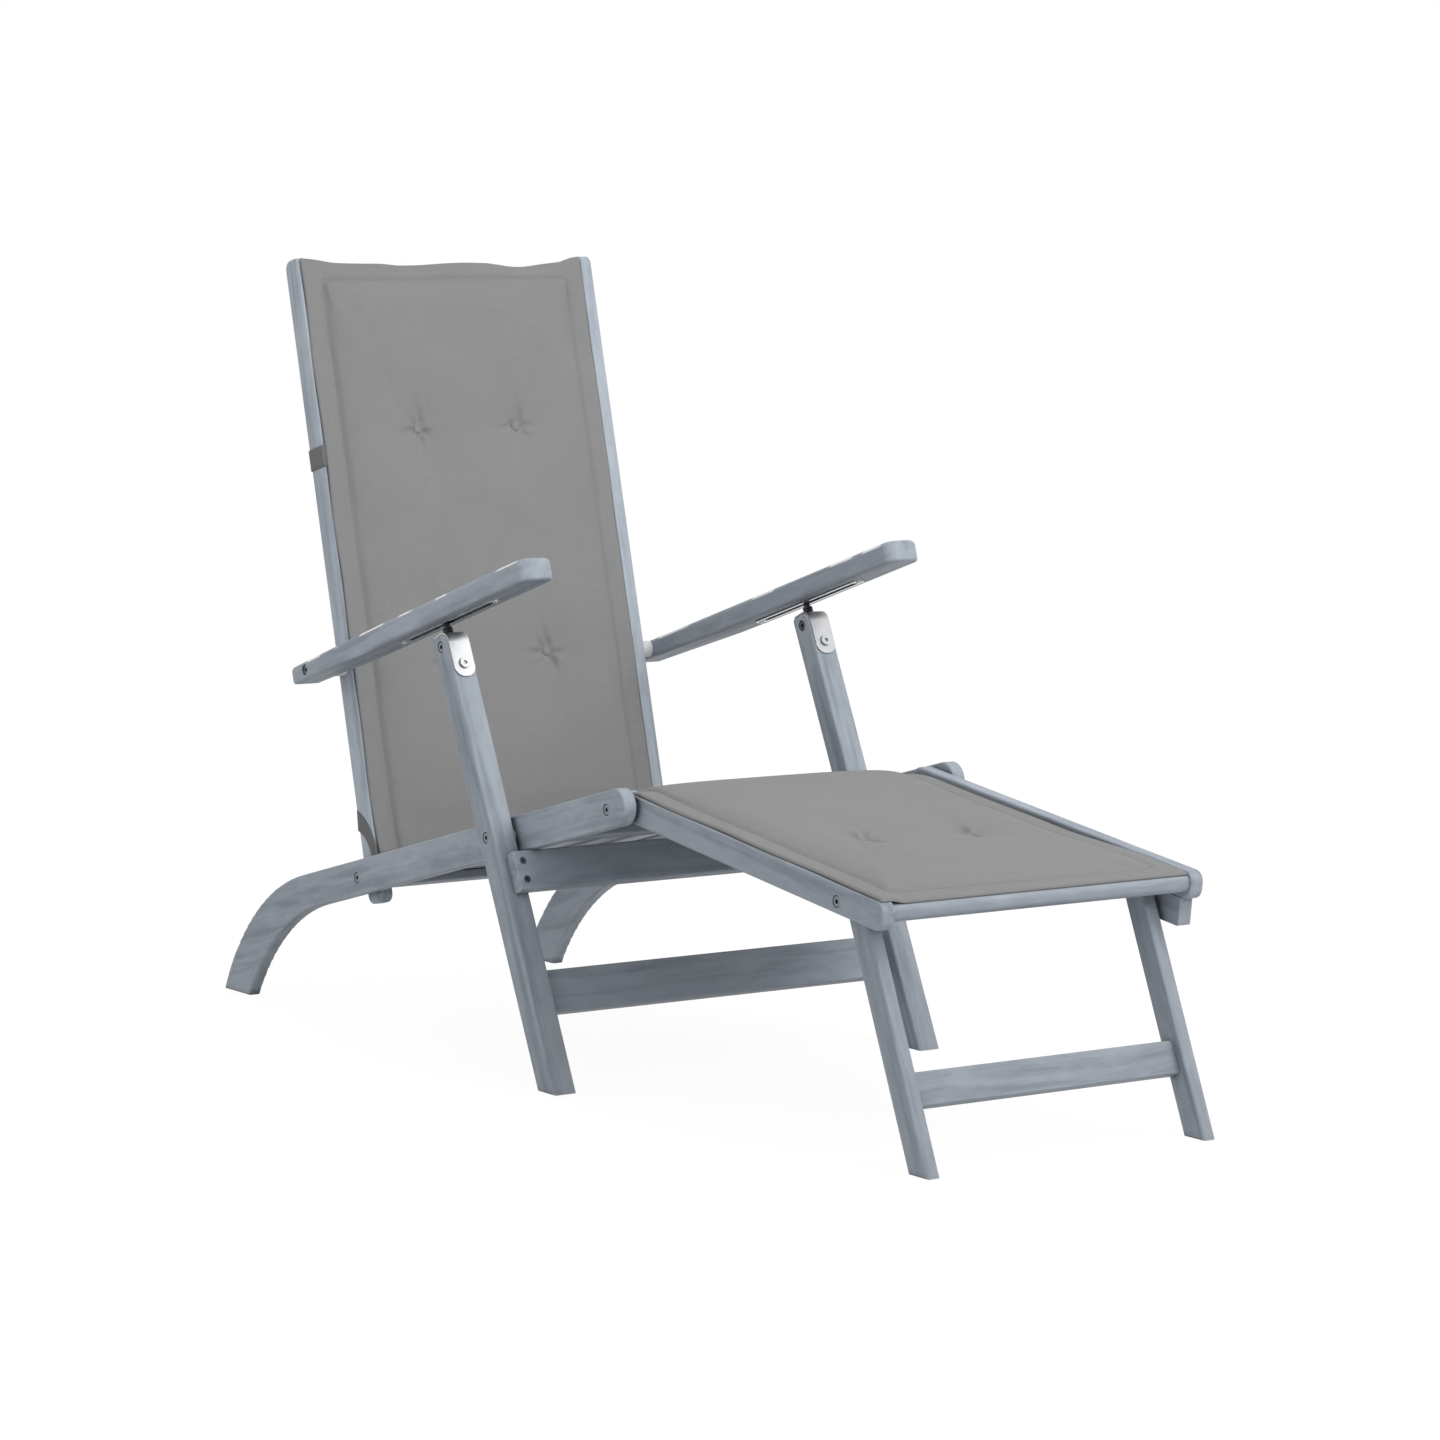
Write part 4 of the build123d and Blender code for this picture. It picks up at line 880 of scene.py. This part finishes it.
def lowerBand():
    # The lower band comes out of the crease, runs up each stile's side in a curve and goes behind the back.
    outer, half, rise = band["stileOuter"] + 0.0010, band["stileHalf"] + 0.0012, band["lowerRise"]
    near = [
        (-0.2262, 0.0225, 0.004, (0.98, 0.20), 0.45), (-outer, 0.0205, 0.012, (0.97, 0.24), 0.5),
        (-outer, 0.0165, 0.030, (0.93, 0.37), 0.55), (-outer, 0.009, 0.050, (0.78, 0.62), 0.6),
        (-outer, -0.003, 0.066, (0.55, 0.83), 0.75), (-outer, -half + 0.003, 0.075, (0.25, 0.97), 0.9),
        (-outer + 0.002, -half, rise, (0.0, 1.0), 1.0), (-0.15, -half, rise + 0.001, (0.0, 1.0), 1.0),
        (0.0, -half + 0.0003, rise + 0.0005, (0.0, 1.0), 1.0),
    ]
    along, out = np.array(backPlace[1]), np.array(backPlace[2])
    route, halves = [], []
    for y, n, s, (shareOut, shareAlong), wide in near:
        route.append(framePoint(backPlace, s, y, n))
        halves.append((shareOut * out + shareAlong * along) * wide * band["width"] / 2)
    mirror = np.array((1, -1, 1))
    route += [point * mirror for point in reversed(route[:-1])]
    halves += [half for half in reversed(halves[:-1])]
    return layBand("lowerBand", route, halves)


straps = (upperBand(), lowerBand())
print("bands laid")


# Bodies: cushion pieces and bands attached, the back and seat pads given meshes of their own, folds baked in
# place, CAD pads and straps hidden
def rowMiddle(place, row):
    return tuple(framePoint(place, *row[len(row) // 2]))


for padName, pad in pads.items():
    piece = cushionPieces[padName]
    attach(piece, pad["body"])
    if pad["squashKeep"]:
        bed = tuple(framePoint(pad["place"], pad["start"], 0, pad["bed"]))
        tuple(pad["place"][2])
        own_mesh(piece)
    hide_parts(pad["node"])

seatRear, backBend = rowMiddle(seatPlace, seatRearRow), rowMiddle(backPlace, bendRow)
backLow, seatFront = rowMiddle(backPlace, backLowRow), rowMiddle(seatPlace, seatFrontRow)
footRear = rowMiddle(footPlace, footRearRow)
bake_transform(creaseLow)
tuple(seatRear)
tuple(backBend)
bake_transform(creaseHigh)
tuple(backBend)
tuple(backLow)
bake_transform(kneeFold)
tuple(seatFront)
for piece, node in ((creaseLow, "seat_pad"), (creaseHigh, "back_pad"), (kneeFold, "foot_pad")):
    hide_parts(node)
for strap in straps:
    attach(strap, "back")
    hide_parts("back_straps")


# Floor, light and camera
studio = {
    "floorTone": (0.55, 0.55, 0.55, 1), "speckTone": (0.6, 0.6, 0.6, 1), "floorShare": 0.78,
    "floorGlow": 1.19, "floorSize": 14.0, "ambient": 0.68,
    "lamps": [
        {"at": (1.75, 0.75, 2.45), "to": (0.0, 0.0, 0.45), "watts": 23.0, "size": 1.8, "spread": 180},
        {"at": (3.2, 0.5, 1.75), "to": (-0.5, 0.0, 0.80), "watts": 3.2, "size": 1.0, "spread": 50},
        {"at": (-1.1, -3.0, 1.5), "to": (-0.55, -0.2, 0.80), "watts": 0.5, "size": 0.8, "spread": 40},
        {"at": (2.6, -3.9, 1.6), "to": (0.0, 0.0, 0.45), "watts": 13.2, "size": 1.8, "spread": 180},
    ],
}
view = {
    "at": (4.88036, -3.20695, 1.06278), "down": 6.2715, "heading": 146.3339,
    "sensor": 36.0, "lens": 117.2076, "shift": (-0.0002, 0.0027), "clip": (0.1, 60.0),
}


def cameraSees(tree):
    rays = addNode(tree, "ShaderNodeLightPath").outputs
    mirrored = mathNode(tree, "MAXIMUM", rays["Is Glossy Ray"], rays["Is Transmission Ray"])
    return mathNode(tree, "MAXIMUM", rays["Is Camera Ray"], mirrored)


def makeFloor():
    size, level = studio["floorSize"], -0.0006
    corners = [(x * size, y * size, level) for x, y in ((-1, -1), (1, -1), (1, 1), (-1, 1))]
    floor = meshPiece("floor", corners, [(0, 1, 2, 3)], [])
    material = bpy.data.materials.new("paleFloor")
    material.use_nodes = True
    tree = material.node_tree
    tree.nodes.remove(tree.nodes["Principled BSDF"])
    speckle = noise(tree, addNode(tree, "ShaderNodeTexCoord").outputs["Object"], 220.0, 2.0)
    tone = mixed(tree, ramp(tree, speckle, 0.3, 0.7, 0.0, 0.05), studio["floorTone"], studio["speckTone"])
    plain = addNode(tree, "ShaderNodeBsdfDiffuse", {"Color": tone}).outputs[0]
    glowFeeds = {"Color": (1, 1, 1, 1), "Strength": studio["floorGlow"]}
    glow = addNode(tree, "ShaderNodeEmission", glowFeeds).outputs[0]
    share = times(tree, cameraSees(tree), studio["floorShare"])
    both = addNode(tree, "ShaderNodeMixShader", {0: share, 1: plain, 2: glow}).outputs[0]
    tree.links.new(both, tree.nodes["Material Output"].inputs["Surface"])
    floor.data.materials.append(material)


def makeWorld():
    world = bpy.data.worlds.new("studioWorld")
    scene.world = world
    world.use_nodes = True
    tree = world.node_tree
    shade = tree.nodes["Background"]
    shade.inputs["Color"].default_value = (1, 1, 1, 1)
    feeds = {"Value": cameraSees(tree), "To Min": studio["ambient"], "To Max": 1.0}
    tree.links.new(addNode(tree, "ShaderNodeMapRange", feeds).outputs[0], shade.inputs["Strength"])


def makeLamps():
    for number, plan in enumerate(studio["lamps"]):
        light = bpy.data.lights.new("softLamp%d" % (number + 1), "AREA")
        light.size, light.energy, light.spread = plan["size"], plan["watts"], math.radians(plan["spread"])
        lamp = bpy.data.objects.new(light.name, light)
        scene.collection.objects.link(lamp)
        lamp.location = plan["at"]
        lamp.rotation_euler = (Vector(plan["to"]) - lamp.location).to_track_quat("-Z", "Y").to_euler()


def makeCamera():
    data = bpy.data.cameras.new("photoCamera")
    data.sensor_width, data.lens = view["sensor"], view["lens"]
    data.shift_x, data.shift_y = view["shift"]
    data.clip_start, data.clip_end = view["clip"]
    camera = bpy.data.objects.new("photoCamera", data)
    scene.collection.objects.link(camera)
    camera.location = view["at"]
    camera.rotation_euler = (math.radians(90 - view["down"]), 0, math.radians(view["heading"] - 90))
    scene.camera = camera


makeFloor()
makeWorld()
makeLamps()
makeCamera()
scene.view_settings.view_transform = "Standard"
print("studio set")
